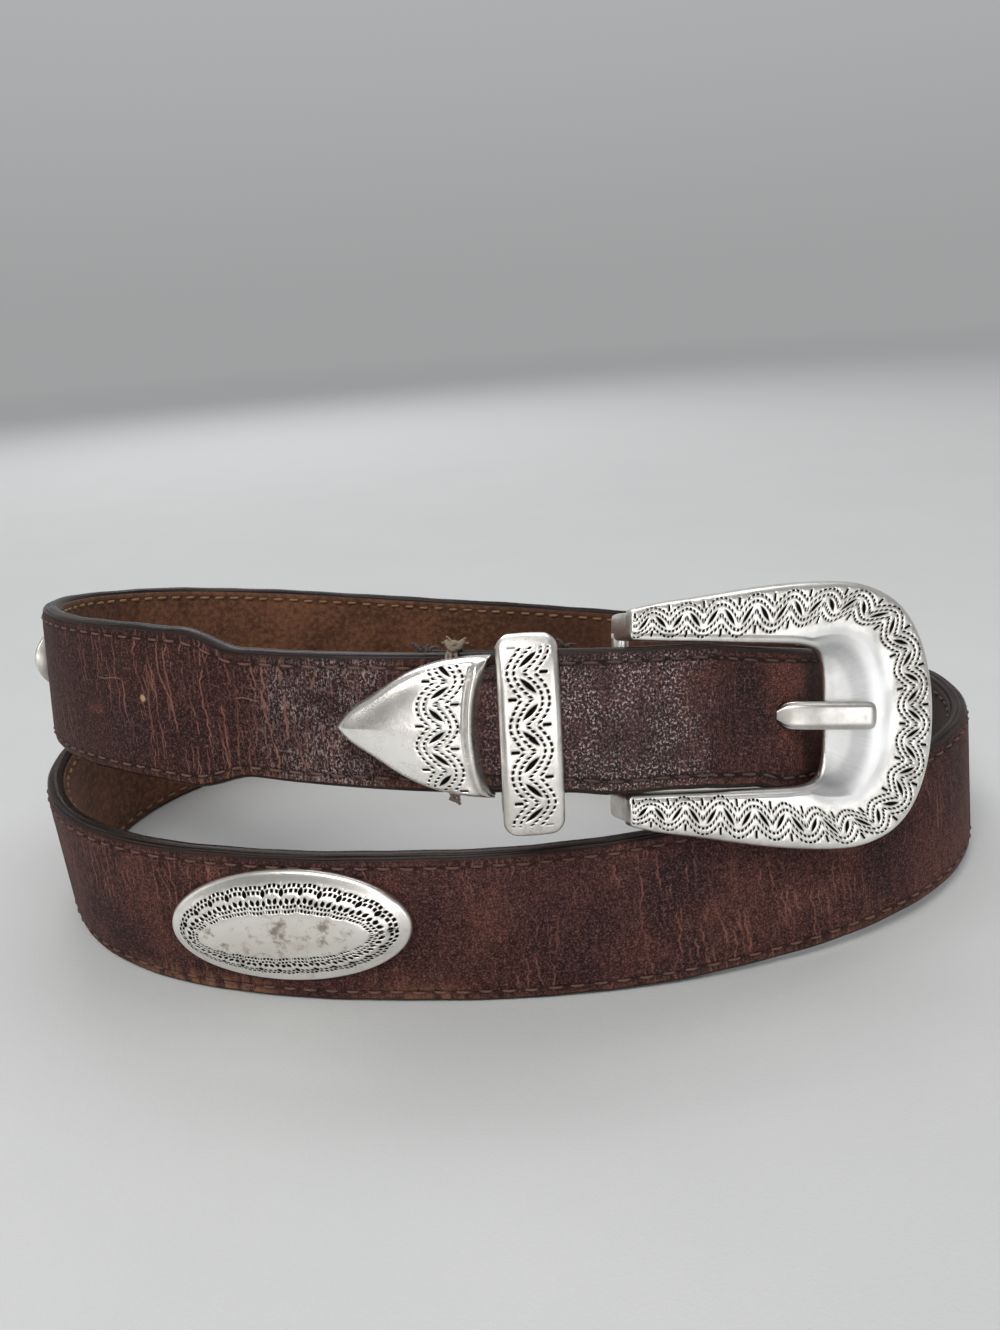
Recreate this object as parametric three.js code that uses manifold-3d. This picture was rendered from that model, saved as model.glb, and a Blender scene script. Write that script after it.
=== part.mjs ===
// Western belt, fastened and wound as a double loop that stands on its edge.
// Millimetres, +Z up. The front of the loop faces -Y, the floor is z = 0.
import * as THREE from 'three';
import { mergeVertices } from 'three/addons/utils/BufferGeometryUtils.js';
import Module from 'manifold-3d';

// ---- driving dimensions -------------------------------------------------
const BODY_W = 31.7, END_W = 25;        // strap width, body and both ends
const STEP_A = [72.7, 87.1];            // buckle end widens here (arc length)
const STEP_B = [874, 888];              // billet narrows here
const LEATHER_T = 2.2, LINING_T = 1.6, LAYER_GAP = 0.2;
const STRAP_T = LEATHER_T + LAYER_GAP + LINING_T;      // 4.0 in all
const LAP_START = 1021.9, LAP_RATIO = 0.951;           // billet lies on the buckle end from here
const LAP_OFFSET = 5.3, LAP_RISE = 1.0;                // centre to centre, and its rise at the tip
const BAR_S = 1.5, BAR_N = -2.7, BAR_R = 1.6, WRAP_R = 2.5;
const FLAP_END = 44.5;                  // the folded-back end stops here
const LEATHER_END = 1055.2;              // the strap ends inside the metal tip
const HOLES = [[969, 2.6], [944, 2.6], [919, 2.6], [894, 2.6]];    // arc length, radius
const USED_HOLE = { s: 993.3, long: 13.0, wide: 7.0 };     // drawn long by the prong
const REST = 0.15;                      // the lower edge is flattened this much where it stands
const FRAME = { back: 3.3, face: 7.0, bevel: 1.3, band: 12, turn: -3.1 };
const PRONG = { width: 5.2, thick: 2.2 };
const KEEPER = { s: 20.7, rise: -0.2, turn: 2.0, width: 10.7 };
const TIP = { s: 1057, rise: 0, back: -2.0, face: 3.3, shift: -5 };
const CONCHO = { long: 49, tall: 24, gap: 0.3, rim: 1.1, dome: 4.9 };
const CONCHOS = [                       // arc length, rise, turn in degrees
  [186, 0, 0], [403, 0, 0], [620, 1.4, 4.2], [837, 0, 0]];
const THREAD_R = 0.35, THREAD_S = 35;
const STEP = 5.2;                       // station spacing along the strap

// ---- the strap's route: arc length, x, y, z of the middle, lean in degrees
const ROUTE = [
//     s        x        y       z    lean
  [  -12,    35.7,   -49.6,   52.81,  -18.5],
  [   24,     1.1,   -58.0,   56.77,  -14.0],
  [   60,   -34.1,   -51.7,   57.71,   -6.7],
  [   96,   -66.6,   -36.3,   56.96,   -5.4],
  [  132,   -93.7,   -13.1,   54.56,   -6.0],
  [  168,  -105.1,    19.9,   49.63,   -4.7],
  [  204,   -89.4,    50.4,   42.32,    0.4],
  [  240,   -57.3,    64.2,   35.38,    2.8],
  [  276,   -21.9,    67.4,   29.81,    2.0],
  [  312,    13.8,    67.5,   24.90,    2.0],
  [  348,    49.2,    63.3,   20.25,    4.1],
  [  384,    82.2,    49.8,   16.78,    5.8],
  [  420,   105.0,    22.7,   16.19,    2.6],
  [  456,   105.0,   -12.4,   17.84,   -5.0],
  [  492,    81.9,   -39.3,   18.41,   -9.2],
  [  528,    48.8,   -53.1,   17.22,   -7.5],
  [  564,    13.3,   -58.5,   15.94,   -3.7],
  [  600,   -22.6,   -57.1,   15.91,   -1.9],
  [  636,   -57.8,   -49.8,   15.90,   -1.7],
  [  672,   -88.7,   -32.1,   15.86,    0.3],
  [  708,  -104.5,    -0.4,   15.89,    1.3],
  [  744,   -97.6,    34.2,   15.90,   -1.5],
  [  780,   -69.8,    55.9,   15.94,   -3.4],
  [  816,   -34.2,    57.3,   15.99,   -0.7],
  [  852,     0.1,    46.6,   16.30,    4.0],
  [  888,    32.8,    32.0,   20.39,    9.9],
  [  924,    60.1,    10.2,   27.46,   11.4],
  [  960,    68.5,   -21.8,   39.31,   -0.1],
  [  996,    49.4,   -48.9,   50.79,  -12.6],
  [ 1032,    16.2,   -60.9,   56.76,  -12.6],
  [ 1068,   -19.5,   -60.8,   58.47,   -7.0]];

const V = (x, y, z) => new THREE.Vector3(x, y, z);
const smooth = (a, b, x) => { const t = Math.min(1, Math.max(0, (x - a) / (b - a))); return t * t * (3 - 2 * t); };

// natural cubic spline through the columns of ROUTE
function spline(xs, ys) {
  const n = xs.length, h = [], a = [], l = [1], mu = [0], z = [0], c = new Array(n).fill(0);
  for (let i = 0; i < n - 1; i++) h.push(xs[i + 1] - xs[i]);
  for (let i = 1; i < n - 1; i++) {
    a[i] = 3 * ((ys[i + 1] - ys[i]) / h[i] - (ys[i] - ys[i - 1]) / h[i - 1]);
    l[i] = 2 * (xs[i + 1] - xs[i - 1]) - h[i - 1] * mu[i - 1];
    mu[i] = h[i] / l[i];
    z[i] = (a[i] - h[i - 1] * z[i - 1]) / l[i];
  }
  for (let i = n - 2; i > 0; i--) c[i] = z[i] - mu[i] * c[i + 1];
  return (x) => {
    let i = 0;
    while (i < n - 2 && x > xs[i + 1]) i++;
    const d = x - xs[i], b = (ys[i + 1] - ys[i]) / h[i] - h[i] * (c[i + 1] + 2 * c[i]) / 3;
    return ys[i] + b * d + c[i] * d * d + (c[i + 1] - c[i]) / (3 * h[i]) * d * d * d;
  };
}
const column = (k) => spline(ROUTE.map((r) => r[0]), ROUTE.map((r) => r[k]));
const [routeX, routeY, routeZ, routeLean] = [1, 2, 3, 4].map(column);

function routeFrame(s) {
  const e = 0.05;
  const p = V(routeX(s), routeY(s), routeZ(s) - REST);
  const t = V(routeX(s + e) - routeX(s - e), routeY(s + e) - routeY(s - e), routeZ(s + e) - routeZ(s - e)).normalize();
  const up = V(0, 0, 1).addScaledVector(t, -t.z).normalize();
  const out = up.clone().cross(t), lean = routeLean(s) * Math.PI / 180;
  const w = up.multiplyScalar(Math.cos(lean)).addScaledVector(out, Math.sin(lean));
  return { p, t, w, n: w.clone().cross(t) };
}
function centre(s) {                     // middle of the strap, and its width direction
  const r = routeFrame(s), f = smooth(988, 1020, s);
  if (f === 0) return { p: r.p, w: r.w };
  const b = routeFrame(Math.max(-12, (s - LAP_START) * LAP_RATIO));
  const lap = b.p.clone().addScaledVector(b.n, LAP_OFFSET).addScaledVector(b.w, LAP_RISE * smooth(1020, 1055, s));
  return { p: r.p.lerp(lap, f), w: r.w.lerp(b.w, f) };
}
function frame(s) {                      // p, t along, w across (up), n out of the outer face
  const c = centre(s), a = centre(s - 0.5).p, b = centre(s + 0.5).p;
  const t = b.sub(a).normalize();
  const w = c.w.addScaledVector(t, -c.w.dot(t)).normalize();
  return { p: c.p, t, w, n: w.clone().cross(t) };
}
const width = (s) => END_W + (BODY_W - END_W) * smooth(...STEP_A, s) * (1 - smooth(...STEP_B, s));

// ---- mesh helpers ---------------------------------------------------------
function fromArrays(points, tris) {
  const g = new THREE.BufferGeometry();
  g.setAttribute('position', new THREE.Float32BufferAttribute(points.flatMap((p) => [p.x, p.y, p.z]), 3));
  g.setIndex(tris.flat());
  let vol = 0;
  for (const [a, b, c] of tris) vol += points[a].dot(points[b].clone().cross(points[c]));
  if (vol < 0) g.setIndex(tris.map(([a, b, c]) => [a, c, b]).flat());
  return g;
}
function loft(rings, other = false) {    // rings of equal count, ends closed by fans; other = the other diagonal
  const m = rings[0].length, pts = rings.flat(), tris = [];
  for (let i = 0; i + 1 < rings.length; i++)
    for (let j = 0; j < m; j++) {
      const a = i * m + j, b = i * m + (j + 1) % m;
      if (other) tris.push([a, b, b + m], [a, b + m, a + m]);
      else tris.push([a, b, a + m], [b, b + m, a + m]);
    }
  for (let j = 1; j + 1 < m; j++) {
    tris.push([0, j + 1, j]);
    const o = (rings.length - 1) * m;
    tris.push([o, o + j, o + j + 1]);
  }
  return fromArrays(pts, tris);
}
const wasm = await Module();
wasm.setup();
function solid(g) {
  const c = g.clone();
  c.deleteAttribute('normal'); c.deleteAttribute('uv');
  const m = mergeVertices(c, 1e-5);
  return new wasm.Manifold(new wasm.Mesh({
    numProp: 3, vertProperties: new Float32Array(m.attributes.position.array),
    triVerts: new Uint32Array(m.index.array) }));
}
function geometry(man) {
  const m = man.getMesh(), g = new THREE.BufferGeometry();
  g.setAttribute('position', new THREE.Float32BufferAttribute(m.vertProperties, m.numProp));
  g.setIndex(Array.from(m.triVerts));
  return g;
}
const place = (g, f) => g.applyMatrix4(new THREE.Matrix4().makeBasis(f.u, f.v, f.n).setPosition(f.o));
// rigid frame on the strap: u to the wearer's right along the strap, v across, n out
function mountFrame(s, rise, turn) {
  const f = frame(s), a = turn * Math.PI / 180, u0 = f.t.clone().negate();
  return { o: f.p.clone().addScaledVector(f.w, rise),
    u: u0.clone().multiplyScalar(Math.cos(a)).addScaledVector(f.w, Math.sin(a)),
    v: f.w.clone().multiplyScalar(Math.cos(a)).addScaledVector(u0, -Math.sin(a)), n: f.n };
}

// ---- strap: top leather with the folded buckle end, and lining ------------
// path of the top leather in the plane of arc length and offset: [s, n, half width, thickness]
const grainN = STRAP_T / 2 - LEATHER_T / 2;
function leatherPath() {
  const rows = [], mid = WRAP_R + LEATHER_T / 2, flapN = -(STRAP_T / 2 + 0.3 + LEATHER_T / 2);
  for (const s of [FLAP_END, 40, 36, 31, 26, 21, 16, 12, 8.5, 5.2]) {
    const n = flapN + (BAR_N - mid - flapN) * (1 - smooth(3, 14, s));
    rows.push([s, n, END_W / 2 - (s > 38 ? (s - 38) * 0.55 : 0), s > 36 ? LEATHER_T - (s - 36) * 0.13 : LEATHER_T]);
  }
  for (let i = 0; i <= 8; i++) {
    const a = -Math.PI / 2 - (Math.PI * i) / 8;
    rows.push([BAR_S + mid * Math.cos(a), BAR_N + mid * Math.sin(a), END_W / 2, LEATHER_T]);
  }
  for (let s = BAR_S + 5; s < LEATHER_END - 1; s += STEP) rows.push([s, grainN, width(s) / 2, LEATHER_T]);
  rows.push([LEATHER_END, grainN, END_W / 2 - 0.1, LEATHER_T]);
  return rows;
}
function sheet(rows, chamfer, other) {
  const rings = rows.map(([s, n, h, t], i) => {
    const f = frame(s), prev = rows[Math.max(0, i - 1)], next = rows[Math.min(rows.length - 1, i + 1)];
    const ds = next[0] - prev[0], dn = next[1] - prev[1], L = Math.hypot(ds, dn);
    const g = f.n.clone().multiplyScalar(ds / L).addScaledVector(f.t, -dn / L);
    const o = f.p.clone().addScaledVector(f.n, n), c = chamfer;
    return [[-h, -t / 2], [h, -t / 2], [h, t / 2 - c], [h - c, t / 2], [-h + c, t / 2], [-h, t / 2 - c]]
      .filter((q, k) => c > 0 || (k !== 3 && k !== 4))
      .map(([a, b]) => o.clone().addScaledVector(f.w, a).addScaledVector(g, b));
  });
  return loft(rings, other);
}
let leather = solid(sheet(leatherPath(), 0.5, false));
const liningRows = [];
for (let s = BAR_S + 5; s < LEATHER_END - 2; s += STEP)
  liningRows.push([s, -STRAP_T / 2 + LINING_T / 2, width(s) / 2 - 0.3, LINING_T]);
liningRows.push([LEATHER_END - 0.5, -STRAP_T / 2 + LINING_T / 2, END_W / 2 - 0.4, LINING_T]);
let lining = solid(sheet(liningRows, 0, true));

function punch(s, long, wide) {
  const f = mountFrame(s, 0, 0);
  const g = new THREE.CylinderGeometry(1, 1, 14, 16).rotateX(Math.PI / 2).scale(long / 2, wide / 2, 1);
  return solid(place(g, f));
}
const barFrame = mountFrame(BAR_S, 0, 0);
const slot = solid(place(new THREE.BoxGeometry(17, 6.2, 10).translate(1.0, 0, BAR_N - 0.1), barFrame));
for (const [s, r] of HOLES) { const c = punch(s, 2 * r, 2 * r); leather = leather.subtract(c); lining = lining.subtract(c); }
{ const c = punch(USED_HOLE.s, USED_HOLE.long, USED_HOLE.wide); leather = leather.subtract(c); lining = lining.subtract(c); }
leather = leather.subtract(slot).trimByPlane([0, 0, 1], 0);
lining = lining.subtract(slot);

// ---- buckle frame with heel bar -------------------------------------------
// half outline: outer u, outer v, inner u, inner v
const HORSESHOE = [
  [-2.2, 18.9, -2.2, 13.5], [4, 20.4, 4, 13.4], [10.2, 21.4, 10, 13.4], [17, 22.6, 16.5, 13.4],
  [24.3, 23.8, 23, 13.4], [31.5, 24.7, 29, 13.4], [39, 25.2, 33.5, 13.2], [46, 24.9, 36.6, 12.3],
  [53, 22.5, 38.2, 10.5], [58.3, 17.4, 38.9, 7.6], [61.6, 9.2, 39, 3.9], [62.6, 0, 39, 0]];
function horseshoe() {
  const all = [...HORSESHOE, ...HORSESHOE.slice(0, -1).reverse().map(([a, b, c, d]) => [a, -b, c, -d])];
  const idx = all.map((_, i) => i), cols = [0, 1, 2, 3].map((k) => spline(idx, all.map((r) => r[k])));
  const rings = [];
  for (let i = 0; i <= 44; i++) {
    const [uo, vo, ui, vi] = cols.map((c) => c(i / 2));
    const d = Math.hypot(uo - ui, vo - vi), at = (x, n) => V(ui + (uo - ui) * x / d, vi + (vo - vi) * x / d, n);
    const scoop = Math.max(0, d - FRAME.band), b = FRAME.bevel;
    const low = FRAME.face - 0.5 - 1.5 * Math.min(1, scoop / 10);
    const crest = Math.max(b, scoop);
    rings.push([at(0, FRAME.back), at(0, low), at(crest * 0.5, low + (FRAME.face - low) * (scoop > 0 ? 0.42 : 0.8)),
      at(crest, FRAME.face), at(d - b, FRAME.face), at(d, FRAME.face - b), at(d, FRAME.back)]);
  }
  return loft(rings);
}
const buckleFrame = mountFrame(BAR_S, 0, FRAME.turn);
let buckle = solid(place(horseshoe(), buckleFrame));
for (const side of [1, -1]) {
  const lug = new THREE.BoxGeometry(4.4, 4.6, 9.6).translate(0.1, side * 16.0, 0.4);
  buckle = buckle.add(solid(place(lug, buckleFrame)));
}
const bar = new THREE.CylinderGeometry(BAR_R, BAR_R, 30, 16).translate(0, 0, BAR_N);
buckle = buckle.add(solid(place(bar, buckleFrame)));

// ---- prong: ring round the heel bar, then up through the hole to the frame --
const PRONG_LINE = [[2.4, -1.9], [8, -1.3], [15, -0.9], [21, -0.7], [25, -0.1], [28, 1.5], [30.8, 3.8], [34.5, 5.8], [40, 7.2], [44.5, 8.0], [48.3, 8.45]];
function prong() {
  const h = PRONG.width / 2, t = PRONG.thick / 2, c = 0.7, rings = [];
  const us = spline(PRONG_LINE.map((_, i) => i), PRONG_LINE.map((p) => p[0])), ns = spline(PRONG_LINE.map((_, i) => i), PRONG_LINE.map((p) => p[1]));
  const steps = 28, last = PRONG_LINE.length - 1;
  for (let i = 0; i <= steps; i++) {
    const k = (i / steps) * last, u = us(k), n = ns(k), e = 0.01;
    const du = us(k + e) - us(k - e), dn = ns(k + e) - ns(k - e), L = Math.hypot(du, dn);
    const end = i === steps ? 0.62 : i === steps - 1 ? 0.92 : 1, hh = h * end, tt = t * (i === steps ? 0.6 : 1);
    rings.push([[-hh, -tt], [hh, -tt], [hh, tt - c * end], [hh - c, tt], [-hh + c, tt], [-hh, tt - c * end]]
      .map(([v, w]) => V(u - (dn / L) * w, v, n + (du / L) * w)));
  }
  const ring = new THREE.Shape(); ring.absarc(0, 0, BAR_R + 2.0, 0, Math.PI * 2);
  const eye = new THREE.Path(); eye.absarc(0, 0, BAR_R + 0.3, 0, Math.PI * 2); ring.holes.push(eye);
  const loop = new THREE.ExtrudeGeometry(ring, { depth: PRONG.width, bevelEnabled: false, curveSegments: 10 })
    .translate(0, 0, -h).rotateX(Math.PI / 2).translate(0, 0, BAR_N);
  return solid(loft(rings)).add(solid(loop));
}
const bareBar = solid(new THREE.CylinderGeometry(BAR_R + 0.3, BAR_R + 0.3, 12, 20).translate(0, 0, BAR_N));
const prongSolid = solid(place(geometry(prong().subtract(bareBar)), buckleFrame));

// ---- keeper loop ------------------------------------------------------------
// its section across the strap: v, n of the right half, from the front round to the back
const KEEPER_OUT = [[0, 10.0], [6, 9.85], [11, 9.3], [15, 8.3], [17.3, 7.0], [17.2, 5.8], [15.9, 3.6], [15.5, 0], [15.4, -5.0], [14.0, -7.1]];
const KEEPER_IN = [[14.1, 7.0], [13.4, 7.8], [-13.4, 7.8], [-14.1, 7.0], [-14.1, -4.7], [-13.3, -5.5], [13.3, -5.5], [14.1, -4.7]];
function keeper() {
  const right = KEEPER_OUT, left = KEEPER_OUT.slice(1).reverse().map(([v, n]) => [-v, n]);
  const shape = new THREE.Shape([...right, ...left].map(([v, n]) => new THREE.Vector2(v, n)));
  shape.holes.push(new THREE.Path(KEEPER_IN.map(([v, n]) => new THREE.Vector2(v, n))));
  const g = new THREE.ExtrudeGeometry(shape, { depth: KEEPER.width, bevelEnabled: false }).translate(0, 0, -KEEPER.width / 2);
  // shape x -> v, shape y -> n, depth -> u
  return g.applyMatrix4(new THREE.Matrix4().makeBasis(V(0, 1, 0), V(0, 0, 1), V(1, 0, 0)));
}
const keeperGeo = geometry(solid(place(keeper(), mountFrame(KEEPER.s, KEEPER.rise, KEEPER.turn))));

// ---- arrowhead tip with a pocket for the strap's end --------------------------
const ARROW = [[-15.2, 0], [-10, 5.2], [-4.5, 9.2], [1.5, 12.1], [7, 13.3], [11.6, 13.6]];   // u, half height
function tip() {
  const rear = []; for (let i = 1; i < 8; i++) { const k = i / 8; rear.push([11.6 - 2.2 * Math.sin(Math.PI * k), 13.6 - 27.2 * k]); }
  const pts = [...ARROW, ...rear, ...ARROW.slice(1).reverse().map(([u, v]) => [u, -v])];
  // upright rim, then a domed face that narrows to a raised crest
  const ring = (k, shift, rise, z) => pts.map(([u, v]) => V((u - shift) * k + shift + rise, v * (k < 1 ? 0.66 : 1), z));
  const body = solid(loft([ring(1, 0, 0, TIP.back), ring(1, 0, 0, TIP.face - 0.9), ring(0.72, 0.5, 0.5, TIP.face + 0.6)]));
  const bite = solid(new THREE.CylinderGeometry(42.6, 42.6, 20, 96).rotateX(Math.PI / 2).translate(9.4 + 42.6, 0, 0));
  const pocket = solid(new THREE.BoxGeometry(12, 25.6, 5.0).translate(6.3 + 6, 0, -0.2));
  return body.subtract(bite).subtract(pocket).translate([TIP.shift, 0, 0]);
}
const tipSolid = geometry(tip());

// ---- conchos --------------------------------------------------------------------
function concho() {
  const a = CONCHO.long / 2, b = CONCHO.tall / 2, m = 28, pts = [], tris = [];
  const profile = [[1, 0], [1, 0.45], [0.965, CONCHO.rim], [0.86, 1.55], [0.68, 2.9], [0.46, 4.0], [0.22, 4.62]];
  for (const [r, z] of profile) for (let j = 0; j < m; j++) {
    const q = (2 * Math.PI * j) / m; pts.push(V(a * r * Math.cos(q), b * r * Math.sin(q), z));
  }
  pts.push(V(0, 0, CONCHO.dome), V(0, 0, 0));
  const top = pts.length - 2, bottom = pts.length - 1, n = profile.length;
  for (let i = 0; i + 1 < n; i++) for (let j = 0; j < m; j++) {
    const p = i * m + j, q = i * m + (j + 1) % m; tris.push([p, q, p + m], [q, q + m, p + m]);
  }
  for (let j = 0; j < m; j++) { tris.push([(n - 1) * m + j, (n - 1) * m + (j + 1) % m, top], [(j + 1) % m, j, bottom]); }
  return fromArrays(pts, tris);
}

// ---- binding thread round the buckle end, with its knot ---------------------------
function thread() {
  const f = mountFrame(THREAD_S, 0, 0), g = 0.3 + THREAD_R, hi = END_W / 2 + g, out = STRAP_T / 2 + g;
  const inn = -(STRAP_T / 2 + 0.3 + LEATHER_T + g);
  const pts = [[-hi, inn + 1], [-hi, out - 0.9], [-hi + 0.9, out], [0, out], [hi - 0.9, out], [hi, out - 0.9], [hi, 0], [hi, inn + 0.9], [hi - 0.9, inn], [0, inn], [-hi + 0.9, inn]]
    .map(([v, n]) => V(0, v, n));
  const loopPath = new THREE.CatmullRomCurve3(pts, true, 'catmullrom', 0.0);
  const sec = new THREE.Shape(); sec.absarc(0, 0, THREAD_R, 0, Math.PI * 2);
  const loop = new THREE.ExtrudeGeometry(sec, { steps: 60, extrudePath: loopPath, bevelEnabled: false, curveSegments: 4 });
  const knot = new THREE.SphereGeometry(1.25, 10, 7).scale(1.5, 1, 1).translate(0.3, hi + 0.9, inn + 1.4);
  const tailPath = new THREE.CatmullRomCurve3([V(0, -hi + 0.1, 1.2), V(0.6, -hi - 1.4, 1.6), V(1.8, -hi - 2.9, 1.2), V(2.4, -hi - 4.2, 1.8)]);
  const tail = new THREE.ExtrudeGeometry(sec, { steps: 8, extrudePath: tailPath, bevelEnabled: false, curveSegments: 4 });
  return place(geometry(solid(loop).add(solid(knot)).add(solid(tail))), f);
}

// ---- scene graph --------------------------------------------------------------------
const material = (color, roughness, metalness) => new THREE.MeshStandardMaterial({ color, roughness, metalness });
const belt = new THREE.Group();
function add(name, geo, mat) {
  const g = geo.index ? geo : mergeVertices(geo);
  g.computeVertexNormals();
  const mesh = new THREE.Mesh(g, mat); mesh.name = name; belt.add(mesh);
}
add('strap_outer', geometry(leather), material(0x4d342c, 0.5, 0));
add('strap_lining', geometry(lining), material(0x6b4630, 0.85, 0));
add('buckle_frame', geometry(buckle), material(0x8f8b84, 0.4, 1));
add('prong', geometry(prongSolid), material(0x96928b, 0.38, 1));
add('keeper', keeperGeo, material(0x8f8b84, 0.4, 1));
add('tip', place(tipSolid, mountFrame(TIP.s, TIP.rise, 0)), material(0x8f8b84, 0.4, 1));
CONCHOS.forEach(([s, rise, turn], i) => {
  const f = mountFrame(s, rise, turn);
  f.o.addScaledVector(f.n, STRAP_T / 2 + CONCHO.gap);
  add(`concho_${i + 1}`, place(concho(), f), material(0x8f8b84, 0.4, 1));
});
add('binding_knot', thread(), material(0x7a6a52, 0.8, 0));

export default belt;
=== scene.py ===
import math
import bpy
import numpy as np
from mathutils import Matrix, Vector
from mathutils.kdtree import KDTree


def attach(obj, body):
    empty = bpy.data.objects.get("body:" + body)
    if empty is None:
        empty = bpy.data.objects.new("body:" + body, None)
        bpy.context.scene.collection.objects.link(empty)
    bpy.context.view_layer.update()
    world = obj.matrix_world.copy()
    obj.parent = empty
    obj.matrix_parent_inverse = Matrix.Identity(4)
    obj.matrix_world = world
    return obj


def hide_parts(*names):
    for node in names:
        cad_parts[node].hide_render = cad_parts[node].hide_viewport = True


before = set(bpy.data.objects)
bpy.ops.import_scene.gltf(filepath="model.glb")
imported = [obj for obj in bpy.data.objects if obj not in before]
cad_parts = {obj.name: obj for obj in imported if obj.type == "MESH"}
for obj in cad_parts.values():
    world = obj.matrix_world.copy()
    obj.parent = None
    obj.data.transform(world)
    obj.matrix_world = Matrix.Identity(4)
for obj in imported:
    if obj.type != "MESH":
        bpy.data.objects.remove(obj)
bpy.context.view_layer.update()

RNG = np.random.default_rng(7)

# ---- the strap's numbers, in millimetres ------------------------------------
BODY_W, END_W = 31.7, 25.0
STEP_A, STEP_B = (72.7, 87.1), (874.0, 888.0)
LEATHER_T, STRAP_T = 2.2, 4.0
LAP_START, LAP_RATIO, LAP_OFFSET, LAP_RISE = 1021.9, 0.951, 5.3, 1.0
BAR_S, BAR_N, BAR_R, WRAP_R = 1.5, -2.7, 1.6, 2.5
FLAP_END, LEATHER_END = 44.5, 1055.2
HOLES = [(969.0, 2.6, 2.6), (944.0, 2.6, 2.6), (919.0, 2.6, 2.6), (894.0, 2.6, 2.6)]
FACE, BACK, BAND, FRAME_TURN = 7.0, 3.3, 12.0, -3.1
REST = 0.15
INSET, PITCH = 2.5, 4.3                 # stitch line from the edge, stitch to stitch
ROUTE = np.array([
    # s, x, y, z, lean
    [-12, 35.7, -49.6, 52.81, -18.5], [24, 1.1, -58.0, 56.77, -14.0], [60, -34.1, -51.7, 57.71, -6.7],
    [96, -66.6, -36.3, 56.96, -5.4], [132, -93.7, -13.1, 54.56, -6.0], [168, -105.1, 19.9, 49.63, -4.7],
    [204, -89.4, 50.4, 42.32, 0.4], [240, -57.3, 64.2, 35.38, 2.8], [276, -21.9, 67.4, 29.81, 2.0],
    [312, 13.8, 67.5, 24.90, 2.0], [348, 49.2, 63.3, 20.25, 4.1], [384, 82.2, 49.8, 16.78, 5.8],
    [420, 105.0, 22.7, 16.19, 2.6], [456, 105.0, -12.4, 17.84, -5.0], [492, 81.9, -39.3, 18.41, -9.2],
    [528, 48.8, -53.1, 17.22, -7.5], [564, 13.3, -58.5, 15.94, -3.7], [600, -22.6, -57.1, 15.91, -1.9],
    [636, -57.8, -49.8, 15.90, -1.7], [672, -88.7, -32.1, 15.86, 0.3], [708, -104.5, -0.4, 15.89, 1.3],
    [744, -97.6, 34.2, 15.90, -1.5], [780, -69.8, 55.9, 15.94, -3.4], [816, -34.2, 57.3, 15.99, -0.7],
    [852, 0.1, 46.6, 16.30, 4.0], [888, 32.8, 32.0, 20.39, 9.9], [924, 60.1, 10.2, 27.46, 11.4],
    [960, 68.5, -21.8, 39.31, -0.1], [996, 49.4, -48.9, 50.79, -12.6], [1032, 16.2, -60.9, 56.76, -12.6],
    [1068, -19.5, -60.8, 58.47, -7.0]], float)


# ---- small maths ---------------------------------------------------------------
def smooth(a, b, x):
    t = np.clip((np.asarray(x, float) - a) / (b - a), 0, 1)
    return t * t * (3 - 2 * t)


def spline(xs, ys):
    """Natural cubic spline, for numbers or arrays."""
    xs, ys = np.asarray(xs, float), np.asarray(ys, float)
    n = len(xs)
    h = np.diff(xs)
    m = np.zeros((n, n))
    r = np.zeros(n)
    m[0, 0] = m[-1, -1] = 1
    for i in range(1, n - 1):
        m[i, i - 1], m[i, i], m[i, i + 1] = h[i - 1], 2 * (h[i - 1] + h[i]), h[i]
        r[i] = 3 * ((ys[i + 1] - ys[i]) / h[i] - (ys[i] - ys[i - 1]) / h[i - 1])
    c = np.linalg.solve(m, r)
    b = np.diff(ys) / h - h * (c[1:] + 2 * c[:-1]) / 3
    d = np.diff(c) / (3 * h)

    def f(x):
        x = np.asarray(x, float)
        i = np.clip(np.searchsorted(xs, x, side="right") - 1, 0, n - 2)
        t = x - xs[i]
        return ys[i] + b[i] * t + c[i] * t * t + d[i] * t ** 3
    return f


def unit(a):
    return a / np.linalg.norm(a, axis=-1, keepdims=True)


def dot(a, b):
    return np.sum(a * b, axis=-1, keepdims=True)


RX, RY, RZ, RLEAN = [spline(ROUTE[:, 0], ROUTE[:, k]) for k in (1, 2, 3, 4)]


def route_frame(s):
    s = np.asarray(s, float)
    e = 0.05
    p = np.stack([RX(s), RY(s), RZ(s) - REST], -1)
    t = unit(np.stack([RX(s + e) - RX(s - e), RY(s + e) - RY(s - e), RZ(s + e) - RZ(s - e)], -1))
    up = np.zeros_like(t)
    up[..., 2] = 1
    up = unit(up - t * t[..., 2:3])
    out = np.cross(up, t)
    lean = np.radians(RLEAN(s))[..., None]
    w = up * np.cos(lean) + out * np.sin(lean)
    return p, t, w, np.cross(w, t)


def centre(s):
    s = np.asarray(s, float)
    p, t, w, n = route_frame(s)
    f = smooth(988, 1020, s)[..., None]
    q = np.maximum(-12, (s - LAP_START) * LAP_RATIO)
    bp, bt, bw, bn = route_frame(q)
    lap = bp + bn * LAP_OFFSET + bw * (LAP_RISE * smooth(1020, 1055, s))[..., None]
    return p * (1 - f) + lap * f, w * (1 - f) + bw * f


def strap_frame(s):
    """Middle of the strap, along, across (up), out of the grain face."""
    s = np.asarray(s, float)
    p, w = centre(s)
    t = unit(centre(s + 0.5)[0] - centre(s - 0.5)[0])
    w = unit(w - t * dot(w, t))
    return p, t, w, np.cross(w, t)


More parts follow.
